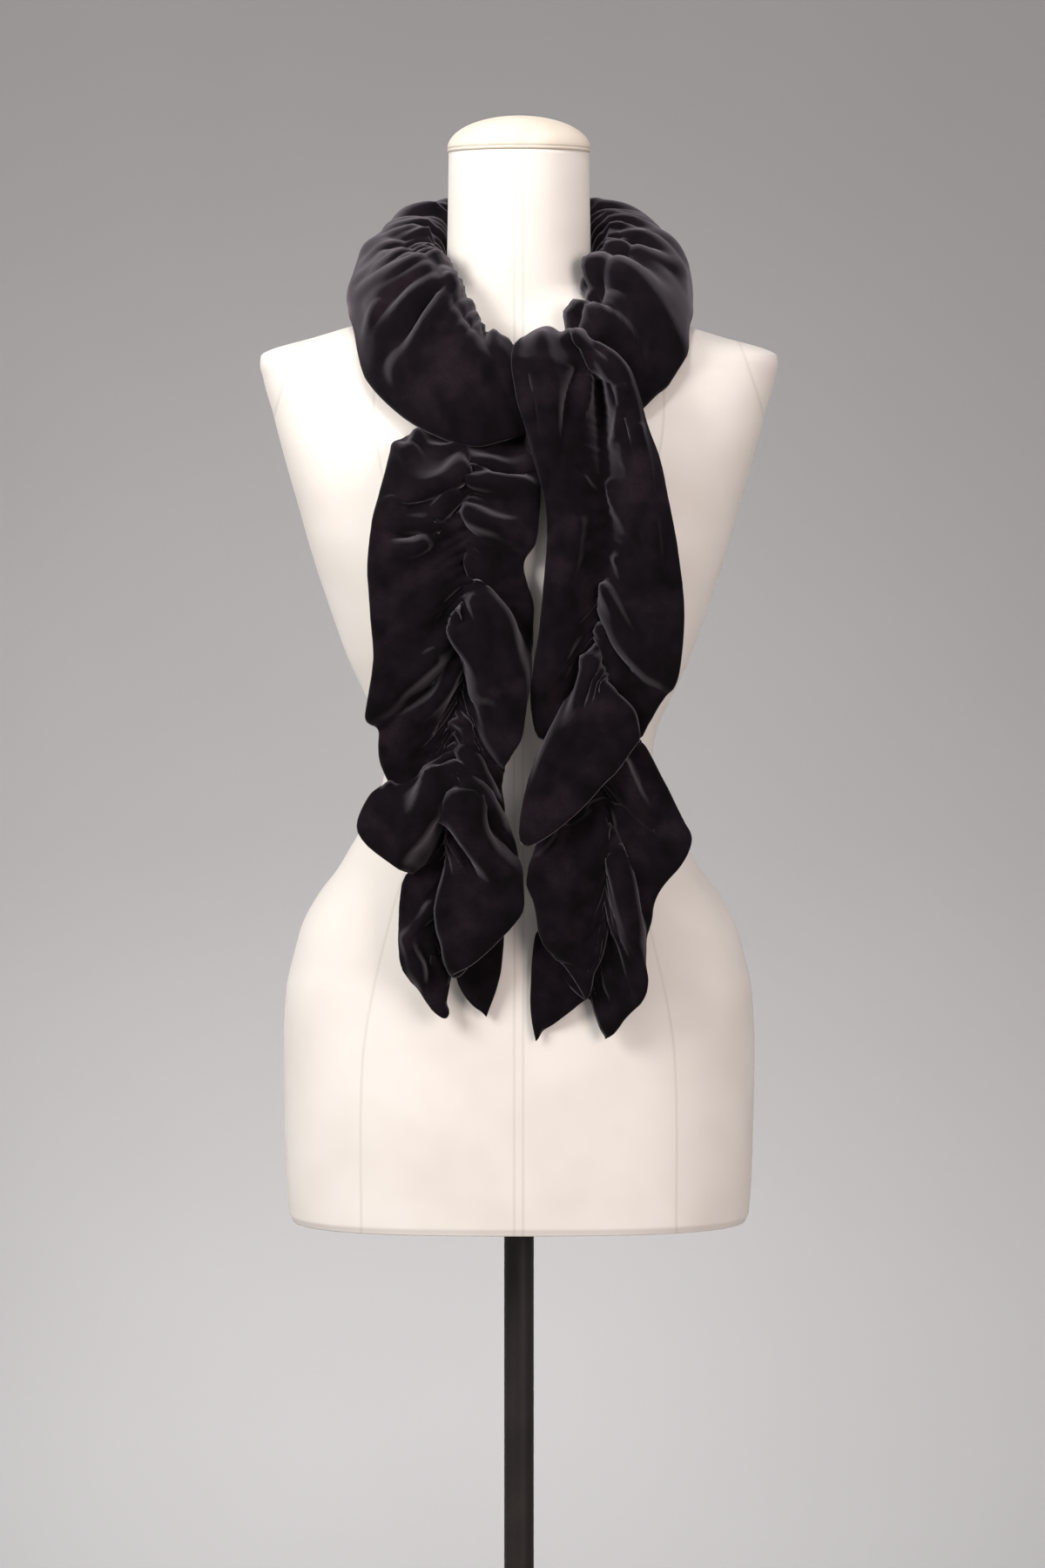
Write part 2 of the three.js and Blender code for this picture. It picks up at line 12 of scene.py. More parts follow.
import bpy
import numpy as np
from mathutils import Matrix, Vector


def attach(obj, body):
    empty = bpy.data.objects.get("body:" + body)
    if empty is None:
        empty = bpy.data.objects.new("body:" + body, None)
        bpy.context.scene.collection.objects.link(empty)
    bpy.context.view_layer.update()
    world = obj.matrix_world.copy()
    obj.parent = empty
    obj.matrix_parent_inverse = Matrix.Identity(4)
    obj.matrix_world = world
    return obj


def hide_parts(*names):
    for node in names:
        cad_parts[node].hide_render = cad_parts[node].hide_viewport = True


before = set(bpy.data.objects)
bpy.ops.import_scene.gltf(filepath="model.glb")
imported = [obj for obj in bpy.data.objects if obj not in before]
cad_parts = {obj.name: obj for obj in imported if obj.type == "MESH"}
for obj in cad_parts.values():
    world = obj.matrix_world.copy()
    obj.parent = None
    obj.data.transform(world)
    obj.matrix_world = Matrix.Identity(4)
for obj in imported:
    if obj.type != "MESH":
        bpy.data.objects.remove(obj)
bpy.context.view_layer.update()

LOG = logging.getLogger("velvet_scarf")
MM = 0.001
Array = np.ndarray
Colour = tuple[float, float, float]
# How near a turned edge each point of the scarf is; the velvet leaves its painted sheen out there.
RIM = "rim"


# ---------------------------------------------------------------- tables and curves


@dataclass(frozen=True)
class Table:
    """Rows of numbers under named columns, read smoothly along the first column."""

    columns: tuple[str, ...]
    rows: tuple[tuple[float, ...], ...]

    def column(self, name: str) -> Array:
        """Returns one column as an array."""
        return np.array([row[self.columns.index(name)] for row in self.rows], float)

    def at(self, name: str, places: Array) -> Array:
        """Reads a column at places along the first one, on smooth curves through the rows.

        Args:
            name: The column to read.
            places: Where to read it, in the first column's own measure.

        Returns:
            The values, one for each place. Each stretch is a cubic whose end slopes are half the
            difference of the rows on either side.
        """
        keys, values = self.column(self.columns[0]), self.column(name)
        if keys[0] > keys[-1]:
            keys, values = keys[::-1], values[::-1]
        row = np.clip(np.searchsorted(keys, places, side="left") - 1, 0, len(keys) - 2)
        before, after = np.maximum(row - 1, 0), np.minimum(row + 2, len(keys) - 1)
        t = np.clip((places - keys[row]) / (keys[row + 1] - keys[row]), 0, 1)
        slope_in = (values[row + 1] - values[before]) / 2
        slope_out = (values[after] - values[row]) / 2
        return (
            values[row] * (2 * t**3 - 3 * t**2 + 1)
            + slope_in * (t**3 - 2 * t**2 + t)
            + values[row + 1] * (3 * t**2 - 2 * t**3)
            + slope_out * (t**3 - t**2)
        )


# The padded body by height: half its width, its depth before and behind the pole's axis, and the
# power of its superellipse, from 2 for a round ring to more for a squarer one.
FORM = Table(
    ("z", "half", "front", "back", "square"),
    (
        (771, 167, 106, 110, 2.7),
        (776, 169.5, 108, 112, 2.7),
        (800, 171.5, 110, 114, 2.6),
        (850, 173, 112, 118, 2.5),
        (905, 173.5, 112, 120, 2.4),
        (945, 171, 110, 118, 2.4),
        (970, 165, 107, 114, 2.35),
        (990, 159, 103, 110, 2.3),
        (1010, 148, 98, 104, 2.3),
        (1030, 133, 93, 98, 2.3),
        (1050, 121, 89, 93, 2.3),
        (1075, 106, 84, 87, 2.2),
        (1105, 98.5, 81, 83, 2.2),
        (1130, 101, 84, 85, 2.2),
        (1155, 112, 91, 90, 2.2),
        (1185, 126, 101, 97, 2.3),
        (1220, 138.5, 112, 104, 2.3),
        (1260, 151.5, 118, 108, 2.4),
        (1295, 161.5, 114, 110, 2.4),
        (1330, 171.5, 103, 109, 2.5),
        (1365, 180.5, 86, 103, 2.6),
        (1390, 187.5, 71, 93, 2.8),
        (1402, 189.5, 64, 85, 2.9),
        (1409, 184, 60, 79, 2.8),
        (1419, 150, 57, 73, 2.6),
        (1430, 114, 55, 67, 2.5),
        (1439, 82, 53.6, 60, 2.3),
        (1447, 62, 53.2, 55, 2.1),
        (1456, 54, 52.9, 53.4, 2),
        (1480, 52.7, 52.4, 52.6, 2),
        (1515, 52, 52, 52, 2),
        (1553.5, 51.5, 51.5, 51.5, 2),
    ),
)

# How far from the middle the princess seams run at each height.
PRINCESS_SEAM = Table(
    ("z", "x"),
    (
        (771, 114),
        (905, 112),
        (1000, 92),
        (1105, 62),
        (1200, 78),
        (1290, 92),
        (1360, 104),
        (1425, 100),
    ),
)

# The loop by its turn round the neck, in degrees from the front towards the wearer's right. Each
# section has four points by radius and height: the inner edge on the neck, the gathering line, the
# fullest place of the outer wing, and its edge.
LOOP_SECTIONS = Table(
    ("turn", "innerR", "innerZ", "gatherR", "gatherZ", "puffR", "puffZ", "edgeR", "edgeZ"),
    (
        (-12, 104, 1352, 107, 1360, 112, 1355, 113, 1350),
        (-3, 103, 1378, 107, 1390, 116, 1368, 115, 1348),
        (6, 96, 1403, 99, 1415, 119, 1384, 117, 1342),
        (15, 92, 1405, 95, 1421, 120, 1390, 119, 1338),
        (28, 75, 1425, 80, 1440, 118, 1404, 120, 1345),
        (42, 64, 1444, 71, 1456, 114, 1426, 125, 1360),
        (56, 58, 1457, 67.5, 1466, 111, 1446, 130, 1386),
        (66, 56.5, 1461, 67.5, 1471, 110, 1456, 126, 1420),
        (75, 55.6, 1465, 67.5, 1477, 108, 1465, 122, 1432),
        (90, 54.8, 1472, 68, 1488, 107, 1476, 117, 1437),
        (110, 54.2, 1486, 67, 1505, 104, 1487, 113, 1436),
        (130, 54.2, 1494, 66, 1514, 101, 1492, 104, 1426),
        (155, 54.2, 1488, 65, 1508, 95, 1486, 91, 1415),
        (180, 54.2, 1484, 65, 1504, 92, 1482, 87, 1410),
        (205, 54.2, 1488, 65, 1508, 95, 1486, 91, 1415),
        (230, 54.2, 1495, 67, 1515, 102, 1494, 105, 1426),
        (250, 54.4, 1487, 68, 1506, 107, 1490, 117, 1435),
        (270, 55, 1472, 67.5, 1490, 111, 1477, 120, 1437),
        (285, 55.6, 1465, 67, 1476, 110, 1464, 125, 1432),
        (294, 56.5, 1460, 67, 1468, 111, 1456, 128, 1420),
        (304, 58, 1455, 66.5, 1462, 110, 1446, 131, 1386),
        (310, 61, 1450, 69, 1457, 110, 1437, 127, 1374),
        (317, 75, 1436, 80, 1443, 109, 1424, 120, 1360),
        (328, 73, 1414, 77, 1426, 104, 1402, 110, 1356),
        (340, 78, 1392, 82, 1404, 96, 1386, 100, 1356),
        (354, 76, 1392, 80, 1405, 92, 1382, 95, 1362),
        (366, 77, 1398, 81, 1411, 92, 1382, 95, 1362),
    ),
)

# Large folds of the loop, each from one turn and share across the outer wing to another.
LOOP_CREASES = Table(
    ("turnA", "acrossA", "turnB", "acrossB", "rise", "breadth"),
    (
        (15, 0, 0, 0.85, -5, 5),
        (47, 0.02, 43, 0.8, 6, 6),
        (52, 0.02, 59, 0.65, 5.5, 6),
        (62, 0.02, 78, 0.75, 6, 7),
        (74, 0.02, 96, 0.5, 5, 6),
        (88, 0.02, 112, 0.45, 5, 6),
        (100, 0.02, 124, 0.75, 7, 6.5),
        (116, 0.02, 132, 0.95, 7, 7),
        (133, 0.02, 142, 0.7, 8, 6.5),
        (148, 0.02, 153, 0.95, 9, 7.5),
        (160, 0.02, 158, 0.7, 6, 6.5),
        (172, 0.02, 168, 0.95, 9, 7.5),
        (192, 0.02, 194, 0.7, 7.5, 6.5),
        (207, 0.02, 214, 0.95, 9, 7.5),
        (223, 0.02, 233, 0.7, 8, 6.5),
        (238, 0.02, 252, 0.95, 7, 7),
        (254, 0.02, 270, 0.6, 7, 6),
        (268, 0.02, 284, 0.7, 5, 7),
        (284, 0.02, 292, 0.5, 5, 6),
        (306, 0, 298, 0.9, 8, 7),
        (328, 0, 315, 0.7, 8, 7),
        (317, 0, 307, 0.6, -4, 4),
    ),
)

# A tail's tables: how far before the axis it hangs at each height, its gathering line by the
# distance down it, and the folds of each wing by that distance. A fold has where it stands out at
# the line, a middle point and its place on the wing's edge, with out for how far it stands out.
HANG = ("z", "y")
LINE = ("down", "x", "z")
FOLD = ("down", "out", "midX", "midZ", "midOut", "edgeX", "edgeZ", "edgeOut")

RIGHT_TAIL_HANG = Table(
    HANG,
    ((1360, 106), (1330, 114), (1300, 124), (1250, 129), (1150, 130), (1050, 125), (930, 119)),
)
LEFT_TAIL_HANG = Table(
    HANG,
    (
        (1420, 105),
        (1412, 112),
        (1398, 122),
        (1350, 127),
        (1250, 130),
        (1150, 131),
        (1050, 126),
        (910, 118),
    ),
)
RIGHT_TAIL_LINE = Table(
    LINE,
    (
        (0, -36, 1360),
        (51, -38, 1309),
        (131, -37, 1229),
        (193, -42, 1167),
        (230, -44, 1130),
        (261, -46, 1099),
        (311, -48, 1049),
        (361, -48, 999),
        (392, -46, 968),
    ),
)
LEFT_TAIL_LINE = Table(
    LINE,
    (
        (-10, 30, 1407),
        (5, 33, 1415),
        (30, 51, 1390),
        (67, 59, 1353),
        (111, 63, 1309),
        (160, 63, 1260),
        (198, 58, 1222),
        (235, 56, 1185),
        (290, 58, 1130),
        (340, 63, 1080),
        (383, 63, 1037),
        (433, 57, 987),
        (476, 51, 944),
    ),
)
RIGHT_TAIL_SIDE_WING = Table(
    FOLD,
    (
        (8, -10, -62, 1347, -10, -82, 1344, -14),
        (22, -8, -62, 1336, -2, -91, 1340, -10),
        (27, -3, -59, 1331, 3, -92, 1334, 0),
        (34, 4, -62, 1312, 13, -96, 1315, 6),
        (42, 0, -69, 1302, 5, -100, 1302, 4),
        (48, 4, -67, 1289, 15, -104, 1287, 13),
        (63, 0, -72, 1277, 9, -106, 1274, 9),
        (76, 2, -77, 1267, 14, -107, 1253, 12),
        (100, -1, -69, 1241, 15, -106, 1222, 12),
        (131, -2, -72, 1203, 13, -103, 1188, 12),
        (151, 1, -67, 1187, 17, -109, 1147, 21),
        (162, -4, -67, 1170, 1, -100, 1138, 8),
        (170, 0, -63, 1160, 11, -100, 1126, 10),
        (200, -3, -72, 1123, 4, -98, 1111, 4),
        (224, -4, -72, 1104, -1, -89, 1091, -3),
        (238, 0, -80, 1101, 4, -104, 1094, 5),
        (249, 4, -84, 1087, 11, -116, 1064, 14),
        (255, 9, -72, 1074, 21, -89, 1041, 22),
        (265, 1, -65, 1068, 5, -79, 1035, 6),
        (277, -3, -62, 1054, -4, -74, 1032, -8),
        (292, -1, -67, 1044, -3, -83, 1029, 0),
        (314, 0, -69, 1015, 5, -86, 998, 6),
        (342, 0, -67, 987, 9, -83, 967, 9),
        (361, -2, -64, 972, 4, -70, 949, 4),
        (376, 1, -58, 957, 6, -55, 931, 6),
        (390, 0, -49, 956, 2, -51, 934, 3),
    ),
)
RIGHT_TAIL_INNER_WING = Table(
    FOLD,
    (
        (8, -10, -13, 1350, -10, 6, 1350, -10),
        (22, -8, -15, 1335, -2, 5, 1338, -2),
        (27, -3, -13, 1331, 2, 11, 1332, 3),
        (32, 3, -13, 1325, 9, 14, 1324, 8),
        (40, 0, -11, 1319, 4, 16, 1318, 6),
        (46, 4, -10, 1312, 11, 16, 1308, 9),
        (55, 0, -11, 1301, 3, 15, 1291, 4),
        (69, 4, -15, 1283, 12, 12, 1270, 8),
        (83, 0, -17, 1267, 2, 4, 1256, -1),
        (100, 3, -18, 1244, 4, 6, 1240, -5),
        (110, 0, -10, 1230, -3, 11, 1224, -5),
        (116, 0, -7, 1209, -4, 9, 1190, -6),
        (122, 5, -8, 1208, 15, 5, 1160, 16),
        (131, 5, -17, 1182, 21, 3, 1133, 18),
        (141, 5, -27, 1174, 16, -6, 1118, 14),
        (178, -2, -31, 1147, 2, -10, 1108, 2),
        (216, 4, -30, 1123, 7, -12, 1097, 1),
        (227, 0, -30, 1111, 0, -11, 1088, -4),
        (236, 4, -25, 1105, 9, -10, 1079, 2),
        (244, 0, -27, 1095, 0, -9, 1068, -2),
        (252, 7, -25, 1088, 13, -2, 1054, 8),
        (261, 2, -26, 1073, 3, 1, 1041, 5),
        (270, 6, -25, 1060, 19, 2, 1030, 14),
        (282, 5, -21, 1030, 17, 3, 1008, 16),
        (294, 5, -31, 1017, 19, -15, 986, 18),
        (306, 7, -43, 1011, 21, -33, 970, 20),
        (316, 7, -57, 1009, 19, -47, 963, 18),
        (325, -1, -51, 998, 8, -40, 962, 6),
        (343, -5, -33, 1000, -6, -13, 996, -7),
        (367, -3, -30, 972, -3, -13, 962, -3),
        (390, 0, -40, 950, 1, -23, 931, 0),
    ),
)
LEFT_TAIL_INNER_WING = Table(
    FOLD,
    (
        (-10, -34, 16, 1406, -34, 2, 1407, -34),
        (5, 0, 18, 1418, 0, 0, 1416, 0),
        (21, 2, 20, 1401, 9, -5, 1403, 6),
        (55, -4, 24, 1377, 13, -2, 1374, 8),
        (86, -6, 27, 1343, 12, 6, 1344, 8),
        (123, -6, 37, 1291, 10, 19, 1297, 8),
        (160, -6, 37, 1247, 11, 19, 1250, 9),
        (191, -6, 34, 1204, 11, 14, 1207, 10),
        (205, -5, 29, 1176, 10, 8, 1160, 10),
        (211, -6, 30, 1160, 4, 15, 1126, 6),
        (217, -6, 45, 1173, 0, 34, 1153, -3),
        (222, 3, 34, 1153, 15, 8, 1105, 13),
        (228, 6, 34, 1130, 20, 0, 1055, 20),
        (236, 8, 45, 1130, 24, 30, 1069, 24),
        (245, 9, 58, 1142, 24, 58, 1097, 24),
        (253, 9, 72, 1160, 19, 84, 1128, 18),
        (267, 0, 70, 1146, 6, 78, 1132, 4),
        (290, -4, 58, 1116, -3, 58, 1110, -5),
        (321, -3, 44, 1088, -2, 27, 1083, -6),
        (343, 4, 34, 1058, 10, 6, 1036, 8),
        (352, 5, 40, 1030, 14, 11, 1012, 12),
        (363, 4, 43, 999, 14, 16, 988, 12),
        (383, 2, 52, 987, 12, 34, 967, 10),
        (408, 0, 57, 981, 8, 47, 944, 8),
        (424, -4, 45, 972, -1, 28, 962, -5),
        (436, -5, 34, 982, -6, 13, 993, -8),
        (452, -3, 30, 954, -3, 8, 944, -4),
        (474, 0, 30, 931, 0, 12, 913, 0),
    ),
)
LEFT_TAIL_SIDE_WING = Table(
    FOLD,
    (
        (-10, -34, 33, 1406, -34, 36, 1404, -34),
        (5, 0, 42, 1413, 1, 48, 1411, 0),
        (15, 0, 58, 1402, 5, 68, 1401, 3),
        (21, -2, 63, 1393, 10, 79, 1390, 6),
        (49, -6, 72, 1366, 10, 88, 1365, 6),
        (74, -7, 78, 1343, 11, 94, 1348, 6),
        (111, -7, 86, 1309, 12, 106, 1306, 7),
        (148, -6, 90, 1266, 13, 113, 1263, 9),
        (176, -4, 90, 1229, 12, 118, 1221, 10),
        (191, 2, 80, 1199, 14, 113, 1174, 14),
        (201, -4, 78, 1188, 4, 105, 1162, 6),
        (211, 2, 74, 1179, 9, 98, 1151, 6),
        (225, -4, 76, 1160, 2, 89, 1134, 0),
        (253, -6, 78, 1142, -6, 85, 1128, -7),
        (290, -4, 80, 1117, -4, 92, 1123, -6),
        (309, 2, 85, 1088, 10, 116, 1076, 6),
        (325, 0, 90, 1071, 6, 123, 1059, 9),
        (337, 4, 97, 1058, 13, 116, 1042, 13),
        (346, 0, 83, 1043, 5, 98, 1018, 5),
        (352, 4, 77, 1042, 12, 95, 998, 5),
        (357, 0, 78, 1018, 4, 89, 978, 0),
        (363, 2, 78, 1015, 13, 92, 957, 12),
        (383, 3, 76, 987, 10, 89, 944, 10),
        (408, 0, 69, 968, 5, 77, 931, 6),
        (445, -1, 63, 950, 3, 69, 920, 4),
        (474, 0, 57, 925, 1, 62, 915, 2),
    ),
)
# Creases in the front view: three points of a bowed line, then how far each stands out, or in where
# it is less than 0, and its breadth.
CREASE = ("x1", "z1", "x2", "z2", "x3", "z3", "rise", "breadth")

RIGHT_TAIL_CREASES = Table(
    CREASE,
    (
        (-71, 1344, -80, 1335, -91, 1342, 5, 4),
        (-39, 1336, -57, 1336, -68, 1340, 4, 3),
        (-90, 1326, -88, 1316, -85, 1308, 4, 5),
        (-80, 1302, -93, 1297, -103, 1286, 6, 5),
        (-41, 1323, -55, 1315, -69, 1312, 6, 4),
        (-47, 1304, -54, 1300, -60, 1295, 4, 3),
        (-57, 1281, -69, 1285, -82, 1286, 5, 4),
        (-68, 1269, -80, 1267, -93, 1272, 6, 4.5),
        (-62, 1191, -80, 1173, -98, 1151, 3.5, 4.5),
        (-46, 1187, -63, 1160, -89, 1144, 3.5, 5.5),
        (-98, 1103, -93, 1096, -88, 1088, 4, 4),
        (-60, 1105, -72, 1074, -86, 1048, 7, 4.5),
        (-51, 1089, -58, 1084, -65, 1079, 4, 3),
        (-99, 1060, -105, 1055, -111, 1050, 4, 4),
        (-81, 988, -72, 963, -63, 941, 7, 4),
        (-64, 983, -58, 970, -52, 958, 4, 3),
        (-63, 1010, -71, 1000, -80, 989, 5, 4),
        (-21, 1336, -8, 1338, 5, 1341, 5, 3.5),
        (-33, 1327, -21, 1327, -8, 1326, 3, 3),
        (-36, 1320, -27, 1320, -21, 1315, 3, 2.5),
        (-36, 1313, -7, 1313, 12, 1310, 5.5, 3),
        (-37, 1295, -29, 1292, -21, 1288, 3, 2.5),
        (-36, 1289, -17, 1284, -1, 1284, 5, 3.5),
        (-37, 1270, -29, 1270, -21, 1270, 3, 3),
        (-36, 1257, -30, 1247, -25, 1239, 4, 3),
        (-36, 1242, -10, 1211, 4, 1164, 5, 4),
        (-41, 1219, -34, 1203, -28, 1192, 6, 3.5),
        (-30, 1228, -27, 1216, -21, 1199, 4, 3),
        (-46, 1141, -37, 1141, -30, 1125, 4, 3),
        (-38, 1123, -27, 1108, -14, 1092, 5, 3.5),
        (-46, 1108, -40, 1107, -34, 1103, 4, 3),
        (-47, 1102, -27, 1090, -7, 1064, 6, 3.5),
        (-41, 1088, -23, 1056, 2, 1031, 8, 5),
        (-47, 1076, -41, 1077, -34, 1077, 4, 3),
        (-44, 1060, -43, 1044, -42, 1028, 4, 5),
        (-42, 1220, -33, 1199, -20, 1173, 5, 5),
        (-22, 1168, -8, 1160, 0, 1142, 5, 8),
        (-47, 1094, -38, 1092, -31, 1088, 5, 3),
        (-48, 1082, -40, 1083, -33, 1079, 5, 3),
        (-60, 1127, -54, 1120, -49, 1117, 4, 3),
        (-42, 1078, -27, 1055, -15, 1028, 4, 3.5),
    ),
)
LEFT_TAIL_CREASES = Table(
    CREASE,
    (
        (-4, 1412, -5, 1387, -2, 1360, 4, 3.5),
        (6, 1390, 11, 1368, 16, 1334, -3, 2.5),
        (16, 1411, 21, 1384, 25, 1346, 6.5, 7),
        (42, 1393, 33, 1365, 28, 1318, -6.5, 4),
        (34, 1414, 47, 1404, 50, 1386, 5, 3.5),
        (50, 1386, 48, 1370, 40, 1358, 5, 3.5),
        (55, 1384, 59, 1351, 61, 1306, -7, 4.5),
        (40, 1414, 60, 1396, 72, 1379, 5, 3),
        (72, 1379, 72, 1358, 66, 1341, 5, 3),
        (57, 1409, 76, 1385, 84, 1351, 4, 3.5),
        (84, 1351, 93, 1303, 98, 1247, 3, 3.5),
        (64, 1310, 70, 1297, 78, 1283, 5.5, 4),
        (45, 1315, 50, 1309, 56, 1305, 3, 2.5),
        (72, 1258, 75, 1247, 77, 1237, 4, 4),
        (64, 1236, 68, 1224, 74, 1213, 4, 3.5),
        (66, 1384, 78, 1346, 86, 1291, -3, 3.5),
        (40, 1284, 35, 1247, 27, 1210, 4, 6),
        (92, 1284, 97, 1235, 94, 1198, 4, 6),
        (63, 1237, 82, 1197, 107, 1173, 7, 4.5),
        (54, 1212, 61, 1205, 68, 1198, 5, 4),
        (51, 1185, 57, 1174, 64, 1164, 5, 4),
        (55, 1156, 64, 1152, 74, 1146, 5, 5),
        (72, 1177, 77, 1154, 84, 1127, 5, 3),
        (32, 1065, 24, 1050, 9, 1042, 6, 4),
        (71, 1108, 85, 1088, 101, 1062, 8, 4.5),
        (72, 1079, 77, 1060, 82, 1043, 5, 4),
        (67, 1053, 79, 1012, 89, 977, 7, 4),
        (37, 1037, 33, 999, 24, 956, 4, 8),
        (67, 1125, 67, 1114, 64, 1102, 4, 5),
        (56, 1081, 61, 1046, 67, 1004, 5, 5),
        (8, 1028, 11, 1019, 14, 1009, 5, 3),
        (45, 1150, 30, 1128, 14, 1100, 5, 7),
    ),
)
COLLAR_CREASES = Table(
    CREASE,
    (
        (-67, 1488, -77, 1491, -83, 1495, 4, 3),
        (-67, 1485, -79, 1486, -90, 1489, 5, 3.5),
        (-67, 1473, -86, 1469, -98, 1475, 6, 4),
        (-62, 1464, -91, 1456, -116, 1446, 7, 4.5),
        (-65, 1457, -80, 1450, -95, 1444, 6, 3.5),
        (-57, 1451, -76, 1436, -98, 1419, 8, 4.5),
        (-51, 1447, -63, 1424, -83, 1391, 8, 4),
        (-96, 1435, -101, 1427, -106, 1417, 4, 4),
        (-50, 1443, -43, 1425, -36, 1412, 4, 7),
        (-60, 1441, -78, 1416, -92, 1400, -4, 6),
        (55, 1463, 85, 1447, 119, 1392, 9, 5),
        (58, 1443, 64, 1432, 71, 1425, -5, 3),
        (42, 1433, 66, 1424, 86, 1388, 8, 5),
        (57, 1497, 68, 1501, 81, 1500, 4, 3),
        (69, 1495, 77, 1493, 85, 1490, 4, 3),
        (59, 1491, 68, 1489, 77, 1485, 4, 3),
        (61, 1483, 90, 1472, 114, 1462, 6, 4),
        (79, 1485, 97, 1481, 112, 1464, 5, 4),
    ),
)


def bowed(start: Array, middle: Array, end: Array, share: Array) -> Array:
    """Points on the parabolas that pass through three points at shares 0, 1/2 and 1.

    Args:
        start: First points, rows by 1 by 3.
        middle: Middle points, rows by 1 by 3.
        end: Last points, rows by 1 by 3.
        share: Places between them, 1 by columns by 1.

    Returns:
        Points, rows by columns by 3.
    """
    return (
        start * (1 - share) * (1 - 2 * share)
        + middle * 4 * share * (1 - share)
        + end * share * (2 * share - 1)
    )


def unit(vectors: Array) -> Array:
    """Vectors scaled to length 1."""
    return vectors / np.maximum(np.linalg.norm(vectors, axis=-1, keepdims=True), 1e-9)


def grid_normals(points: Array) -> Array:
    """Normals of a grid: the cross product of its two central differences.

    Args:
        points: Rows by columns by 3.

    Returns:
        Unit normals of the same shape.
    """
    return unit(np.cross(np.gradient(points, axis=0), np.gradient(points, axis=1)))


def smooth_step(value: Array, low: float, high: float) -> Array:
    """0 below low, 1 above high, and a smooth rise between them."""
    t = np.clip((value - low) / (high - low), 0, 1)
    return t * t * (3 - 2 * t)


def stretch_of(value: Array, rising: tuple[float, float], falling: tuple[float, float]) -> Array:
    """0, then 1 from the end of the rise to the start of the fall, then 0 again."""
    return smooth_step(value, *rising) * (1 - smooth_step(value, *falling))


@dataclass(frozen=True)
class Ripple:
    """Uneven low relief: a sum of plane waves with seeded directions, lengths and phases."""

    height: float
    shortest: float
    longest: float
    waves: int = 9
    seed: int = 1

    def at(self, u: Array, v: Array) -> Array:
        """Relief at places u, v in millimetres across the cloth.

        Args:
            u: First place.
            v: Second place, of the same shape.

        Returns:
            The height at each place.
        """
        source = np.random.RandomState(self.seed)
        total = np.zeros(np.broadcast(u, v).shape)
        for _ in range(self.waves):
            length = source.uniform(self.shortest, self.longest)
            heading, phase = source.uniform(0, 2 * math.pi, 2)
            wave = (u * math.cos(heading) + v * math.sin(heading)) / length
            total += np.sin(2 * math.pi * wave + phase) * length / self.longest
        return total * self.height / math.sqrt(self.waves)


@dataclass(frozen=True)
class Gathers:
    """Small uneven pleats that leave a gathering line, each a soft ridge that broadens away from it.

    The closest and widest are the least and greatest gaps between ridges. The reach is the share of
    the wing where a ridge fades, and the slant how far down it runs on its way to the edge.
    """

    closest: float
    widest: float
    height: float
    reach: float
    slant: float
    seed: int = 1
    heights: tuple[float, float] = (0.55, 1.25)
    reaches: tuple[float, float] = (0.5, 1.2)
    slants: tuple[float, float] = (-0.4, 1)
    long_chance: float = 0.22
    longer: float = 2.1
    breadth: tuple[float, float] = (0.3, 0.5)
    fading: float = 1.6

    def rise(self, along: Array, across: Array) -> Array:
        """How far the pleats stand out.

        Args:
            along: Places down the gathering line, rows by 1.
            across: Shares of the way from the line to the edge, 1 by columns.

        Returns:
            Heights, rows by columns. Each ridge is a bell across its own line, which slants with
            the share, and fades out at its own reach.
        """
        source = np.random.RandomState(self.seed)
        place, last = float(along.min()), float(along.max())
        total = np.zeros(np.broadcast(along, across).shape)
        while place < last:
            gap = source.uniform(self.closest, self.widest)
            tall = self.height * source.uniform(*self.heights)
            reach = self.reach * source.uniform(*self.reaches)
            reach *= self.longer if source.rand() < self.long_chance else 1
            slant = self.slant * source.uniform(*self.slants)
            broad = gap * (self.breadth[0] + self.breadth[1] * across)
            away = (along - place - slant * across) / broad
            total += tall * np.exp(-(away**2)) * np.exp(-((across / reach) ** self.fading))
            place += gap
        return total


USUAL_RISE = 4.0
CREASE_STEPS = 9
CREASE_FADE = 0.75
CREASE_FALL = 1.5


def crease_rise(points: Array, table: Table) -> Array:
    """How far listed folds stand out, each along a bowed line in the front view.

    Args:
        points: The cloth's middle surface in millimetres, rows by columns by 3.
        table: The folds: three points of each line, with its rise and breadth.

    Returns:
        Heights, rows by columns. A fold is a bell of the distance from its line, full at its first
        end and fading towards its last, and broader than its row says where it stands taller than
        the usual rise.
    """
    share = np.linspace(0, 1, CREASE_STEPS)[:, None]
    total = np.zeros(points.shape[:2])
    for x1, z1, x2, z2, x3, z3, rise, breadth in table.rows:
        line = bowed(np.array([x1, z1]), np.array([x2, z2]), np.array([x3, z3]), share)
        start, run = line[:-1], np.diff(line, axis=0)
        from_start = points[..., None, [0, 2]] - start
        t = np.clip((from_start * run).sum(-1) / (run**2).sum(-1), 0, 1)
        squared = ((from_start - t[..., None] * run) ** 2).sum(-1)
        nearest = squared.argmin(-1)[..., None]
        near = np.take_along_axis(squared, nearest, -1)[..., 0]
        gone = (nearest[..., 0] + np.take_along_axis(t, nearest, -1)[..., 0]) / len(run)
        broad = breadth**2 * abs(rise) / USUAL_RISE
        total += rise * (1 - CREASE_FADE * gone**CREASE_FALL) / (1 + near / broad) ** CREASE_FALL
    return total


# ---------------------------------------------------------------- meshes


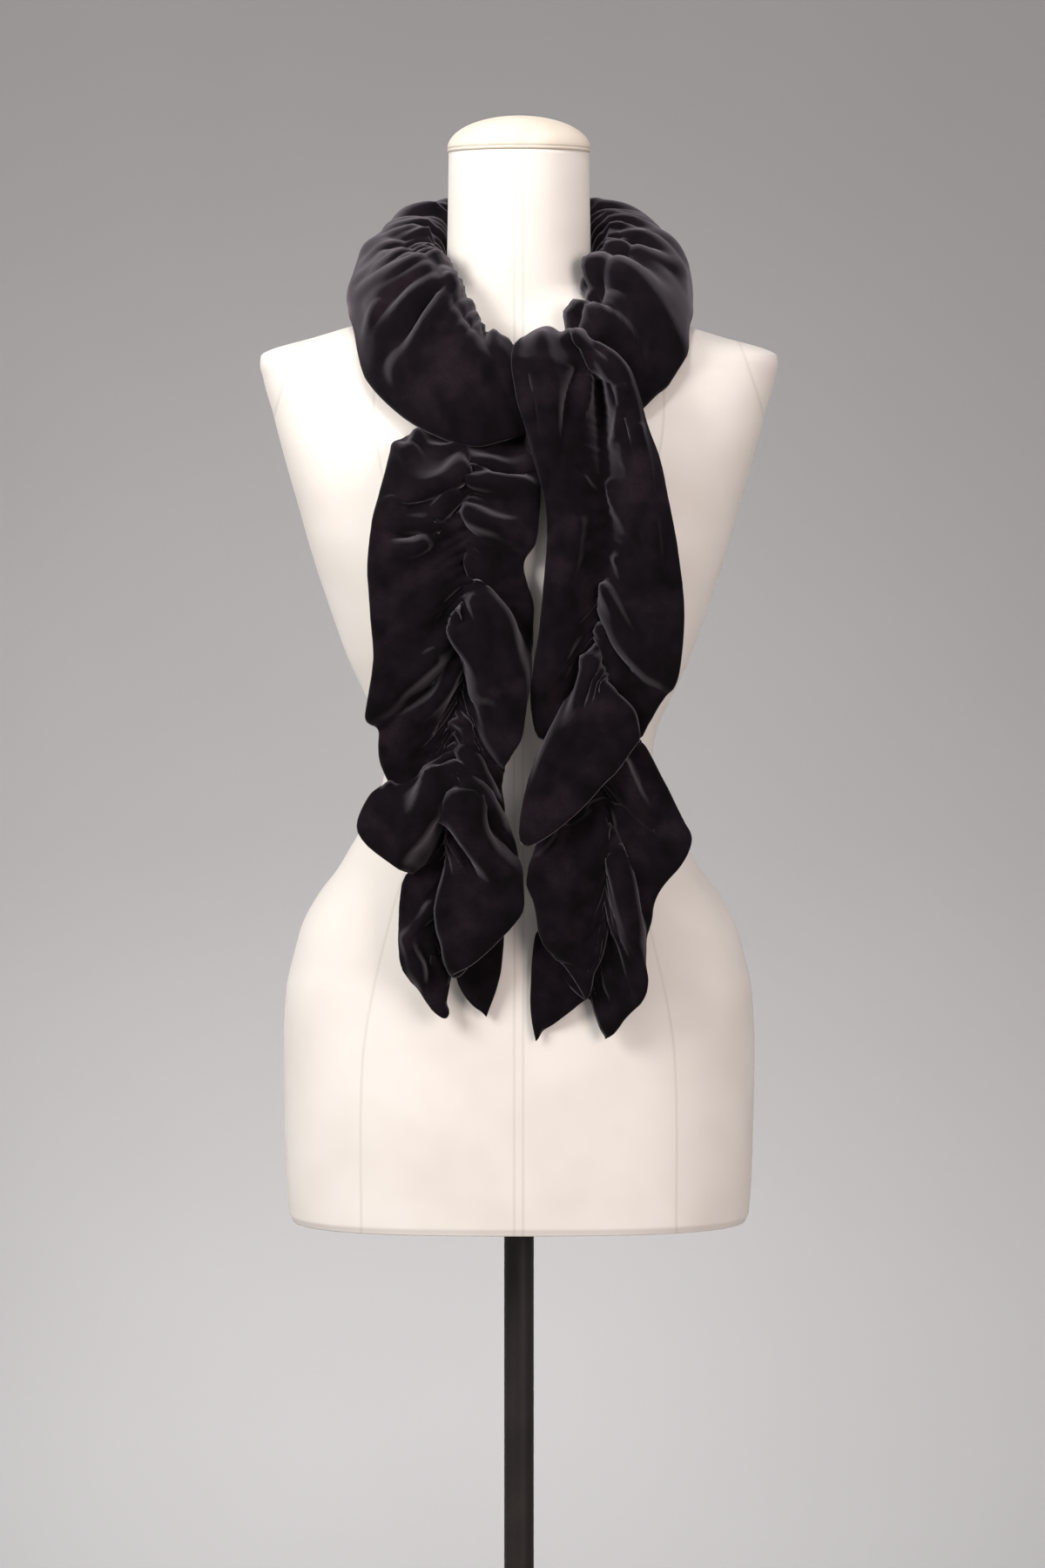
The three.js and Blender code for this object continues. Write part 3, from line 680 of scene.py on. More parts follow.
def add_mesh(name: str, points: Array, faces: Array, material: bpy.types.Material) -> bpy.types.Object:
    """Makes a smooth mesh object at the origin.

    Args:
        name: The object's name.
        points: Vertices in millimetres, n by 3.
        faces: Four vertex numbers a face; a triangle repeats its last.
        material: Its finish.

    Returns:
        The object, linked to the scene.
    """
    mesh = bpy.data.meshes.new(name)
    corners = [tuple(dict.fromkeys(face)) for face in faces.tolist()]
    mesh.from_pydata((points * MM).tolist(), [], corners)
    mesh.validate()
    mesh.polygons.foreach_set("use_smooth", [True] * len(mesh.polygons))
    mesh.materials.append(material)
    mesh.update()
    made = bpy.data.objects.new(name, mesh)
    bpy.context.scene.collection.objects.link(made)
    return made


def add_value(made: bpy.types.Object, name: str, values: Array) -> None:
    """Gives a mesh a named number at each vertex, for its material to read."""
    attribute = made.data.attributes.new(name, "FLOAT", "POINT")
    attribute.data.foreach_set("value", values.astype(np.float32).ravel())


def grid_faces(rows: int, columns: int, wrap: bool) -> Array:
    """Four-sided faces of a grid of vertices, wound so that rows run down and columns to the right.

    Args:
        rows: Rows of vertices.
        columns: Vertices in a row.
        wrap: Whether the last column joins the first.

    Returns:
        Faces, n by 4.
    """
    i, j = np.meshgrid(np.arange(rows - 1), np.arange(columns if wrap else columns - 1), indexing="ij")
    k = (j + 1) % columns
    corners = (i * columns + j, (i + 1) * columns + j, (i + 1) * columns + k, i * columns + k)
    return np.stack(corners, -1).reshape(-1, 4)


def tube_of(middle: Array, front: Array, back: Array) -> tuple[Array, Array]:
    """A flat tube of two cloth layers round a middle surface, closed at both ends.

    Args:
        middle: The middle surface, rows by columns by 3, in millimetres.
        front: How far the front layer stands off it, rows by columns.
        back: The same for the back layer.

    Returns:
        Vertices and faces. The layers are the middle moved along its normal each way, and meet at
        the two edges.
    """
    normal = grid_normals(middle)
    rows, columns = middle.shape[:2]
    upper = middle + normal * front[..., None]
    lower = (middle - normal * back[..., None])[:, -2:0:-1]
    ring = np.concatenate([upper, lower], axis=1)
    around = ring.shape[1]
    faces = grid_faces(rows, around, True)
    number = np.arange(columns - 1)
    twin = (around - number) % around
    after = (around - number - 1) % around
    first = np.stack([number, number + 1, after, twin], -1)
    end = first[:, ::-1] + (rows - 1) * around
    return ring.reshape(-1, 3), np.concatenate([faces, first, end])


def ringed(rings: Array, low: float, high: float) -> tuple[Array, Array]:
    """Rings round the pole's axis, closed at each end by a fan round a point on the axis.

    Args:
        rings: Rows by vertices round by 3, in millimetres.
        low: Height of the point that closes the first ring.
        high: Height of the point that closes the last.

    Returns:
        Vertices and faces.
    """
    rows, around = rings.shape[:2]
    hubs = np.array([[0, 0, low], [0, 0, high]], float)
    j = np.arange(around)
    k = (j + 1) % around
    hub = np.full(around, rows * around)
    last = (rows - 1) * around
    faces = [
        grid_faces(rows, around, True),
        np.stack([j, k, hub, hub], -1),
        np.stack([k + last, j + last, hub + 1, hub + 1], -1),
    ]
    return np.concatenate([rings.reshape(-1, 3), hubs]), np.concatenate(faces)


def facing_out(made: bpy.types.Object) -> None:
    """Turns a closed mesh's faces outwards, by the sign of its volume.

    Args:
        made: The mesh's object. Its volume is a sixth of the sum of a . (b x c) over its triangles.
    """
    mesh = made.data
    mesh.calc_loop_triangles()
    corners = np.empty(len(mesh.loop_triangles) * 3, np.int32)
    mesh.loop_triangles.foreach_get("vertices", corners)
    points = np.empty(len(mesh.vertices) * 3, np.float32)
    mesh.vertices.foreach_get("co", points)
    a, b, c = points.reshape(-1, 3)[corners.reshape(-1, 3)].transpose(1, 0, 2)
    if (a * np.cross(b, c)).sum() < 0:
        mesh.flip_normals()
    mesh.update()


# ---------------------------------------------------------------- finishes


class Sum(Enum):
    """What a Math node of a finish works out."""

    ADD = "ADD"
    SUBTRACT = "SUBTRACT"
    MULTIPLY = "MULTIPLY"
    SIZE = "ABSOLUTE"
    GREATER = "MAXIMUM"


class Seam(Enum):
    """The form's seams, by the name of the distance that its mesh carries for each."""

    FRONT = "seam_front"
    SIDE = "seam_side"
    ARM = "seam_arm"


class Slot(Enum):
    """The part's material slots."""

    VELVET = "velvet"
    FORM = "form_canvas"
    CAP = "cap_leather"
    STAND = "stand_paint"


class Tree:
    """A short way to write a node tree."""

    def __init__(self, tree: bpy.types.NodeTree) -> None:
        """Keeps the tree that nodes are added to."""
        self.tree = tree

    def add(self, kind: str, **inputs: object) -> bpy.types.Node:
        """Adds a node, sets its inputs and properties by name, and links those that are sockets.

        Args:
            kind: The node's type.
            **inputs: Values or output sockets. An underscore in a name stands for a space, and a
                name that isn't an input is a property of the node.

        Returns:
            The node.
        """
        node = self.tree.nodes.new(kind)
        for name, value in inputs.items():
            label = name.replace("_", " ")
            if label in node.inputs:
                self.set(node.inputs[label], value)
            else:
                setattr(node, name, value)
        return node

    def set(self, socket: bpy.types.NodeSocket, value: object) -> None:
        """Links an output socket to an input, or sets the input's own value.

        Args:
            socket: The input.
            value: An output socket, or the value to set.
        """
        if isinstance(value, bpy.types.NodeSocket):
            self.tree.links.new(value, socket)
        else:
            socket.default_value = value

    def maths(self, operation: Sum, *values: object) -> bpy.types.NodeSocket:
        """A Math node of that operation on those values.

        Args:
            operation: What it works out.
            *values: Numbers or output sockets.

        Returns:
            Its output.
        """
        node = self.tree.nodes.new("ShaderNodeMath")
        node.operation = operation.value
        for socket, value in zip(node.inputs, values):
            self.set(socket, value)
        return node.outputs[0]

    def span(self, value: object, start: object, stop: object) -> bpy.types.NodeSocket:
        """A share that goes from 0 to 1 as a value goes from start to stop.

        Args:
            value: The value.
            start: Where the share is 0.
            stop: Where the share is 1.

        Returns:
            The share, held at 0 and 1 outside.
        """
        node = self.add("ShaderNodeMapRange", Value=value)
        self.set(node.inputs["From Min"], start)
        self.set(node.inputs["From Max"], stop)
        return node.outputs[0]

    def blend(self, share: object, low: object, high: object) -> bpy.types.NodeSocket:
        """A colour that goes from low to high as share goes from 0 to 1.

        Args:
            share: The share of the high colour.
            low: A colour or an output socket.
            high: A colour or an output socket.

        Returns:
            The colour.
        """
        node = self.tree.nodes.new("ShaderNodeMix")
        node.data_type = "RGBA"
        of_colours = [socket for socket in node.inputs if socket.type == "RGBA"]
        for socket, value in zip((node.inputs[0], *of_colours), (share, low, high)):
            self.set(socket, (*value, 1) if isinstance(value, tuple) else value)
        return next(socket for socket in node.outputs if socket.type == "RGBA")

    def noise(self, where: object, scale: object, detail: object) -> bpy.types.NodeSocket:
        """Noise of that scale in lumps a metre."""
        return self.add("ShaderNodeTexNoise", Vector=where, Scale=scale, Detail=detail).outputs["Fac"]

    def bump(
        self, height: object, strength: object, depth: object, under: object = None
    ) -> bpy.types.NodeSocket:
        """A bump, on another bump if there is one.

        Args:
            height: Where the surface stands proud.
            strength: How much of the bump shows.
            depth: Its depth in metres.
            under: The normal of the bump beneath it.

        Returns:
            The normal.
        """
        node = self.add("ShaderNodeBump", Height=height, Strength=strength, Distance=depth)
        if under is not None:
            self.set(node.inputs["Normal"], under)
        return node.outputs[0]


class Group(Tree):
    """A shader node group that several finishes share. It is built once and found by its name."""

    name = ""
    takes: tuple[tuple[str, str], ...] = ()
    gives: tuple[tuple[str, str], ...] = ()

    def __init__(self) -> None:
        """Builds the group's sockets and nodes."""
        super().__init__(bpy.data.node_groups.new(self.name, "ShaderNodeTree"))
        for direction, sockets in (("INPUT", self.takes), ("OUTPUT", self.gives)):
            for label, kind in sockets:
                self.tree.interface.new_socket(label, in_out=direction, socket_type=f"NodeSocket{kind}")
        taken = self.tree.nodes.new("NodeGroupInput").outputs
        given = self.tree.nodes.new("NodeGroupOutput").inputs
        for label, value in self.worked_out(taken).items():
            self.set(given[label], value)

    def worked_out(self, taken: bpy.types.NodeOutputs) -> dict[str, bpy.types.NodeSocket]:
        """The group's outputs by name, worked out from its inputs."""
        raise NotImplementedError

    @classmethod
    def shared(cls) -> bpy.types.NodeTree:
        """The group's tree, built the first time it is asked for."""
        return bpy.data.node_groups.get(cls.name) or cls().tree


class Clouds(Group):
    """Soft clouds of one colour in another."""

    name = "soft_clouds"
    takes = (
        ("Place", "Vector"),
        ("Scale", "Float"),
        ("Detail", "Float"),
        ("Low", "Color"),
        ("High", "Color"),
        ("Start", "Float"),
        ("Stop", "Float"),
    )
    gives = (("Colour", "Color"), ("Cloud", "Float"))

    def worked_out(self, taken: bpy.types.NodeOutputs) -> dict[str, bpy.types.NodeSocket]:
        """Noise, and the low colour going over to the high one as it goes from start to stop.

        Args:
            taken: The group's inputs.

        Returns:
            The colour and the noise.
        """
        cloud = self.noise(taken["Place"], taken["Scale"], taken["Detail"])
        share = self.span(cloud, taken["Start"], taken["Stop"])
        return {"Colour": self.blend(share, taken["Low"], taken["High"]), "Cloud": cloud}


class Grain(Group):
    """Fine grain that roughens a surface and stands a little proud of it."""

    name = "fine_grain"
    takes = (
        ("Place", "Vector"),
        ("Scale", "Float"),
        ("Detail", "Float"),
        ("Smoothest", "Float"),
        ("Spread", "Float"),
        ("Strength", "Float"),
        ("Depth", "Float"),
    )
    gives = (("Roughness", "Float"), ("Normal", "Vector"), ("Grain", "Float"))

    def worked_out(self, taken: bpy.types.NodeOutputs) -> dict[str, bpy.types.NodeSocket]:
        """Noise, a roughness that rises with it, and its bump.

        Args:
            taken: The group's inputs.

        Returns:
            The roughness, the normal and the noise.
        """
        grain = self.noise(taken["Place"], taken["Scale"], taken["Detail"])
        rougher = self.maths(Sum.MULTIPLY, grain, taken["Spread"])
        return {
            "Roughness": self.maths(Sum.ADD, rougher, taken["Smoothest"]),
            "Normal": self.bump(grain, taken["Strength"], taken["Depth"]),
            "Grain": grain,
        }


@dataclass(frozen=True)
class Fineness:
    """A surface's fine grain: size and depth in millimetres, and the roughness it gives."""

    size: float
    strength: float
    depth: float
    smoothest: float = 0.0
    spread: float = 0.0
    detail: float = 2


class Nodes(Tree):
    """A material's node tree."""

    def __init__(self, name: str) -> None:
        """Starts a material with its output and shader.

        Args:
            name: The material's name.
        """
        self.material = bpy.data.materials.new(name)
        self.material.use_nodes = True
        super().__init__(self.material.node_tree)
        self.shader = self.tree.nodes["Principled BSDF"]
        self.where = self.tree.nodes.new("ShaderNodeTexCoord").outputs["Object"]

    def feed(self, **values: object) -> None:
        """Sets the shader's inputs, named with an underscore for each space."""
        for name, value in values.items():
            self.set(self.shader.inputs[name.replace("_", " ")], value)

    def value_of(self, name: str) -> bpy.types.NodeSocket:
        """The mesh's own number of that name."""
        return self.add("ShaderNodeAttribute", attribute_name=name).outputs["Fac"]

    def lumps(self, size: float, detail: float = 2) -> bpy.types.NodeSocket:
        """Noise whose lumps are about that many millimetres across."""
        return self.noise(self.where, 1 / (size * MM), detail)

    def shared(self, group: type[Group], **inputs: object) -> bpy.types.NodeOutputs:
        """Places a shared group in the material, at Object coordinates.

        Args:
            group: The group's class.
            **inputs: Its inputs by name.

        Returns:
            Its outputs.
        """
        node = self.tree.nodes.new("ShaderNodeGroup")
        node.node_tree = group.shared()
        for name, value in {"Place": self.where, **inputs}.items():
            self.set(node.inputs[name], value)
        return node.outputs

    def clouds(
        self, size: float, low: Colour, high: Colour, start: float, stop: float, detail: float = 3
    ) -> bpy.types.NodeOutputs:
        """Clouds of two colours.

        Args:
            size: How many millimetres across a cloud is.
            low: The ground's colour.
            high: The clouds' colour.
            start: Noise where the high colour sets in.
            stop: Noise where it is whole.
            detail: How many finer layers the noise has.

        Returns:
            The outputs Colour and Cloud.
        """
        return self.shared(
            Clouds,
            Scale=1 / (size * MM),
            Detail=detail,
            Low=(*low, 1),
            High=(*high, 1),
            Start=start,
            Stop=stop,
        )

    def grain(self, grain: Fineness) -> bpy.types.NodeOutputs:
        """A surface's fine grain.

        Args:
            grain: Its sizes.

        Returns:
            The outputs Roughness, Normal and Grain.
        """
        return self.shared(
            Grain,
            Scale=1 / (grain.size * MM),
            Detail=grain.detail,
            Smoothest=grain.smoothest,
            Spread=grain.spread,
            Strength=grain.strength,
            Depth=grain.depth * MM,
        )


@dataclass(frozen=True)
class Velvet:
    """Black silk-pile velvet: dark face on, with a painted sheen that greys it where the pile turns away from
    the eye, and a mottled nap.
    """

    dark: Colour = (0.0016, 0.0007, 0.0014)
    light: Colour = (0.0042, 0.0020, 0.0035)
    mottle_size: float = 16
    mottle_share: tuple[float, float] = (0.34, 0.68)
    brushed: Colour = (0.019, 0.011, 0.0155)
    brushed_size: float = 34
    brushed_detail: float = 3
    brushed_share: tuple[float, float] = (0.5, 0.72)
    pile: Fineness = Fineness(size=0.9, strength=0.4, depth=0.12)
    pile_share: tuple[float, float] = (0.2, 0.8)
    # A painted sheen: the grey that the colour goes over to where the pile turns away from the eye.
    painted_sheen: Colour = (0.078, 0.069, 0.076)
    painted_sheen_rise: tuple[float, float] = (0.27, 0.84)
    painted_sheen_grazing: tuple[float, float] = (0.82, 0.97)
    painted_sheen_grazing_loss: float = 0.85
    turning: float = 0.5
    painted_sheen_rim_loss: float = 0.9
    roughest: float = 1.02
    mottle_gloss: float = 0.25
    specular: float = 0.1
    sheen: float = 0.22
    sheen_roughness: float = 0.36
    sheen_tint: Colour = (0.90, 0.80, 0.87)

    def material(self) -> bpy.types.Material:
        """Builds the velvet.

        Returns:
            The material. Its colour goes from the mottled, brushed face to a grey painted sheen as the pile
            turns away from the eye; the painted sheen falls again at grazing and is left out on the turned
            edges, which stay dark.
        """
        n = Nodes("velvet")
        pile = n.grain(self.pile)
        clouds = n.clouds(self.mottle_size, self.dark, self.light, *self.mottle_share, detail=4)
        strokes = n.span(n.lumps(self.brushed_size, self.brushed_detail), *self.brushed_share)
        brushed = n.maths(Sum.MULTIPLY, strokes, n.span(pile["Grain"], *self.pile_share))
        face = n.blend(brushed, clouds["Colour"], self.brushed)
        # Painted sheen: the base colour greys as the pile turns from the eye, falls again at grazing, and is
        # left out near the turned edges.
        layers = n.add("ShaderNodeLayerWeight", Blend=self.turning, Normal=pile["Normal"])
        turned = layers.outputs["Facing"]
        rising = n.span(turned, *self.painted_sheen_rise)
        falling = n.maths(Sum.MULTIPLY, n.span(turned, *self.painted_sheen_grazing), self.painted_sheen_grazing_loss)
        painted_sheen_amount = n.maths(Sum.MULTIPLY, rising, n.maths(Sum.SUBTRACT, 1.0, falling))
        inside = n.maths(Sum.SUBTRACT, 1.0, n.maths(Sum.MULTIPLY, n.value_of(RIM), self.painted_sheen_rim_loss))
        painted_sheen_amount = n.maths(Sum.MULTIPLY, painted_sheen_amount, inside)
        glossier = n.maths(Sum.MULTIPLY, clouds["Cloud"], -self.mottle_gloss)
        n.feed(
            Base_Color=n.blend(painted_sheen_amount, face, self.painted_sheen),
            Roughness=n.maths(Sum.ADD, glossier, self.roughest),
            Normal=pile["Normal"],
            Specular_IOR_Level=self.specular,
            Sheen_Weight=self.sheen,
            Sheen_Roughness=self.sheen_roughness,
            Sheen_Tint=(*self.sheen_tint, 1),
        )
        return n.material


@dataclass(frozen=True)
class Jersey:
    """Cream jersey over a padded form, with thin sewn seams where the mesh's seam numbers pass 0."""

    base: Colour = (0.79, 0.735, 0.675)
    shade: Colour = (0.73, 0.67, 0.605)
    cloud_size: float = 60
    cloud_share: tuple[float, float] = (0.35, 0.75)
    knit: Fineness = Fineness(size=0.8, smoothest=0.74, spread=0.12, strength=0.25, depth=0.12)
    seam_width: tuple[float, float] = (0.3, 1.5)
    seam_shade: float = 0.86
    seam_share: float = 0.625
    seam_strength: float = 0.3
    seam_depth: float = 0.3
    specular: float = 0.25
    sheen: float = 0.12

    def material(self) -> bpy.types.Material:
        """Builds the jersey.

        Returns:
            The material. A seam is a narrow dark groove where one of the mesh's distances is near 0.
        """
        n = Nodes("form_jersey")
        line: object = 0.0
        for seam in Seam:
            beside = n.span(n.maths(Sum.SIZE, n.value_of(seam.value)), *self.seam_width)
            line = n.maths(Sum.GREATER, line, n.maths(Sum.SUBTRACT, 1.0, beside))
        cloth = n.clouds(self.cloud_size, self.base, self.shade, *self.cloud_share, detail=2)["Colour"]
        sewn = tuple(self.seam_shade * value for value in self.shade)
        knit = n.grain(self.knit)
        pressed = n.maths(Sum.SUBTRACT, 1.0, line)
        n.feed(
            Base_Color=n.blend(n.maths(Sum.MULTIPLY, line, self.seam_share), cloth, sewn),
            Roughness=knit["Roughness"],
            Normal=n.bump(pressed, self.seam_strength, self.seam_depth * MM, knit["Normal"]),
            Specular_IOR_Level=self.specular,
            Sheen_Weight=self.sheen,
        )
        return n.material


@dataclass(frozen=True)
class Kid:
    """Smooth cream kid on the neck cap, a little yellower than the jersey."""

    base: Colour = (0.70, 0.62, 0.52)
    shade: Colour = (0.64, 0.555, 0.45)
    cloud_size: float = 22
    cloud_share: tuple[float, float] = (0.35, 0.72)
    pores: Fineness = Fineness(size=1.4, smoothest=0.52, spread=0.2, strength=0.3, depth=0.15, detail=3)

    def material(self) -> bpy.types.Material:
        """Builds the kid.

        Returns:
            The material: clouds of two creams, with pores.
        """
        n = Nodes("cap_kid")
        pores = n.grain(self.pores)
        clouds = n.clouds(self.cloud_size, self.base, self.shade, *self.cloud_share)
        n.feed(Base_Color=clouds["Colour"], Roughness=pores["Roughness"], Normal=pores["Normal"])
        return n.material


@dataclass(frozen=True)
class Paint:
    """Brown-black satin paint on the stand."""

    base: Colour = (0.012, 0.009, 0.008)
    worn: Colour = (0.02, 0.015, 0.013)
    wear_size: float = 35
    wear_share: tuple[float, float] = (0.4, 0.7)
    speckle: Fineness = Fineness(size=1.2, smoothest=0.36, spread=0.15, strength=0.2, depth=0.1)
    specular: float = 0.3

    def material(self) -> bpy.types.Material:
        """Builds the paint.

        Returns:
            The material: nearly black, a little lighter where it is worn.
        """
        n = Nodes("stand_paint")
        speckle = n.grain(self.speckle)
        wear = n.clouds(self.wear_size, self.base, self.worn, *self.wear_share, detail=4)
        n.feed(Base_Color=wear["Colour"], Roughness=speckle["Roughness"], Normal=speckle["Normal"])
        n.feed(Specular_IOR_Level=self.specular)
        return n.material


@dataclass(frozen=True)
class Paper:
    """Pale grey studio paper, seen through from behind."""

    base: Colour = (0.372, 0.360, 0.358)
    darker: Colour = (0.361, 0.349, 0.347)
    cloud_size: float = 400
    cloud_share: tuple[float, float] = (0.3, 0.7)
    roughness: float = 0.92

    def material(self) -> bpy.types.Material:
        """Builds the paper.

        Returns:
            The material. It is clear where its back faces the eye.
        """
        n = Nodes("studio_paper")
        clouds = n.clouds(self.cloud_size, self.base, self.darker, *self.cloud_share, detail=2)
        behind = n.add("ShaderNodeNewGeometry").outputs["Backfacing"]
        n.feed(Base_Color=clouds["Colour"], Roughness=self.roughness)
        n.feed(Alpha=n.maths(Sum.SUBTRACT, 1.0, behind))
        return n.material


# ---------------------------------------------------------------- the dress form


@dataclass
class DressForm:
    """The padded form with its neck cap, pole and base."""

    around: int = 180
    rows: int = 330
    row_shares: tuple[float, ...] = (0, 0.03, 0.68, 0.9, 1)
    row_heights: tuple[float, ...] = (771, 780, 1380, 1462, 1553.5)
    front_seam: float = 3.2
    princess: Table = PRINCESS_SEAM
    princess_top: float = 1425
    arm_low: float = 1290
    arm_x: float = 168
    arm_z: float = 1392
    arm_lean: tuple[float, float] = (0.86, 0.30)
    no_seam: float = 40
    cap_radius: float = 52.4
    cap_seam: float = 1553.8
    cap_edge: float = 0.8
    cap_lip: float = 3
    cap_groove: tuple[tuple[float, float], ...] = ((0, 0.9), (0.6, 0.4), (0.1, 0.1))
    cap_rise: float = 27
    cap_rows: int = 40
    cap_sides: int = 128
    pole_radius: float = 11
    pole_top: float = 770.7
    pole_gap: float = 0.3
    pole_edge: float = 0.6
    pole_sides: int = 64
    base_radius: float = 200
    base_thickness: float = 10
    base_foot: float = 1.5
    base_shoulder: float = 3
    base_bevel: float = 0.9
    base_sides: int = 160
    sharp_angle: float = 38

    def skin(self) -> tuple[Array, Array]:
        """Points of the body cloth: superellipses whose width, depth and squareness vary with height.

        Returns:
            Points, rows by around by 3, and their heights. With p = 2 / squareness a ring is
            half |cos|^p across and front or back |sin|^p deep, each with its own sign.
        """
        places = np.interp(np.linspace(0, 1, self.rows), self.row_shares, self.row_heights)
        angle = np.linspace(0, 2 * math.pi, self.around, endpoint=False)[None, :]
        read = {name: FORM.at(name, places)[:, None] for name in FORM.columns[1:]}
        power = 2 / read["square"]
        depth = np.where(np.sin(angle) < 0, read["front"], read["back"])
        x = read["half"] * np.sign(np.cos(angle)) * np.abs(np.cos(angle)) ** power
        y = depth * np.sign(np.sin(angle)) * np.abs(np.sin(angle)) ** power
        z = np.broadcast_to(places[:, None], x.shape)
        return np.stack([x, y, z], -1), places

    def seam_distances(self, points: Array) -> dict[Seam, Array]:
        """How far each point is from each seam, across it.

        Args:
            points: Points of the skin, n by 3.

        Returns:
            Distances by seam: from a pair of straight lines in front and one behind, from the
            princess line on each side, and from a slanted line below each shoulder.
        """
        x, y, z = points.T
        beside = np.abs(x)
        princess = beside - self.princess.at("x", z)
        arm = (beside - self.arm_x) * self.arm_lean[0] - (self.arm_z - z) * self.arm_lean[1]
        return {
            Seam.FRONT: np.where(y < 0, beside - self.front_seam, beside),
            Seam.SIDE: np.where(z < self.princess_top, princess, self.no_seam),
            Seam.ARM: np.where(z > self.arm_low, arm, self.no_seam),
        }

    def torso(self) -> bpy.types.Object:
        """Builds the body cloth with its seams, closed below and at the neck.

        Returns:
            The object, riding on the root.
        """
        rings, places = self.skin()
        points, faces = ringed(rings, places[0], places[-1])
        made = add_mesh("form_cover", points, faces, Jersey().material())
        facing_out(made)
        for seam, distance in self.seam_distances(points).items():
            add_value(made, seam.value, distance)
        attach(made, "root")
        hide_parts("torso")
        return made

    def turned(self, name: str, profile: Array, sides: int, material: bpy.types.Material) -> bpy.types.Object:
        """A body turned about the pole's axis from a profile of radius and height, closed at its ends.

        Args:
            name: The object's name.
            profile: Radius and height, n by 2, the first and last on the axis.
            sides: Vertices round it.
            material: Its finish.

        Returns:
            The object, riding on the root.
        """
        angle = np.linspace(0, 2 * math.pi, sides, endpoint=False)
        ring = profile[1:-1]
        x = ring[:, :1] * np.cos(angle)
        y = ring[:, :1] * np.sin(angle)
        z = np.broadcast_to(ring[:, 1:], x.shape)
        points, faces = ringed(np.stack([x, y, z], -1), profile[0, 1], profile[-1, 1])
        made = add_mesh(name, points, faces, material)
        facing_out(made)
        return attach(made, "root")

    def cap(self) -> bpy.types.Object:
        """Builds the domed neck cap: a flat underside, a rim with a stitched groove, and a dome.

        Returns:
            The object, riding on the root.
        """
        radius, seam, lip = self.cap_radius, self.cap_seam, self.cap_seam + self.cap_lip
        angle = np.linspace(0, math.pi / 2, self.cap_rows)
        rise = self.cap_rise - self.cap_lip
        dome = np.stack([radius * np.cos(angle), lip + rise * np.sin(angle)], -1)
        dome[-1, 0] = 0
        rim = np.array([[0, seam], [radius - self.cap_edge, seam], [radius, seam + self.cap_edge]])
        groove = np.array([radius, lip]) - np.array(self.cap_groove)
        profile = np.concatenate([rim, groove, dome])
        made = self.turned("neck_cap_cover", profile, self.cap_sides, Kid().material())
        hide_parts("neck_cap")
        return made

    def stand(self) -> list[bpy.types.Object]:
        """Builds the pole and the round base, with softened edges.

        Returns:
            The two objects, riding on the root.
        """
        paint = Paint().material()
        radius, top, edge = self.pole_radius, self.pole_top, self.pole_edge
        foot = self.base_thickness + self.pole_gap
        pole = np.array(
            [
                [0, foot],
                [radius - edge, foot],
                [radius, foot + edge],
                [radius, top - edge],
                [radius - edge, top],
                [0, top],
            ]
        )
        wide, thick = self.base_radius, self.base_thickness
        plate = np.array(
            [
                [0, 0],
                [wide - self.base_foot, 0],
                [wide, self.base_foot],
                [wide, thick - self.base_shoulder],
                [wide - self.base_bevel, thick - self.base_bevel],
                [wide - self.base_shoulder, thick],
                [0, thick],
            ]
        )
        made = [
            self.turned("pole_tube", pole, self.pole_sides, paint),
            self.turned("base_plate", plate, self.base_sides, paint),
        ]
        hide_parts("pole")
        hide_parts("base")
        for piece in made:
            piece.data.set_sharp_from_angle(angle=math.radians(self.sharp_angle))
        return made


# ---------------------------------------------------------------- the scarf


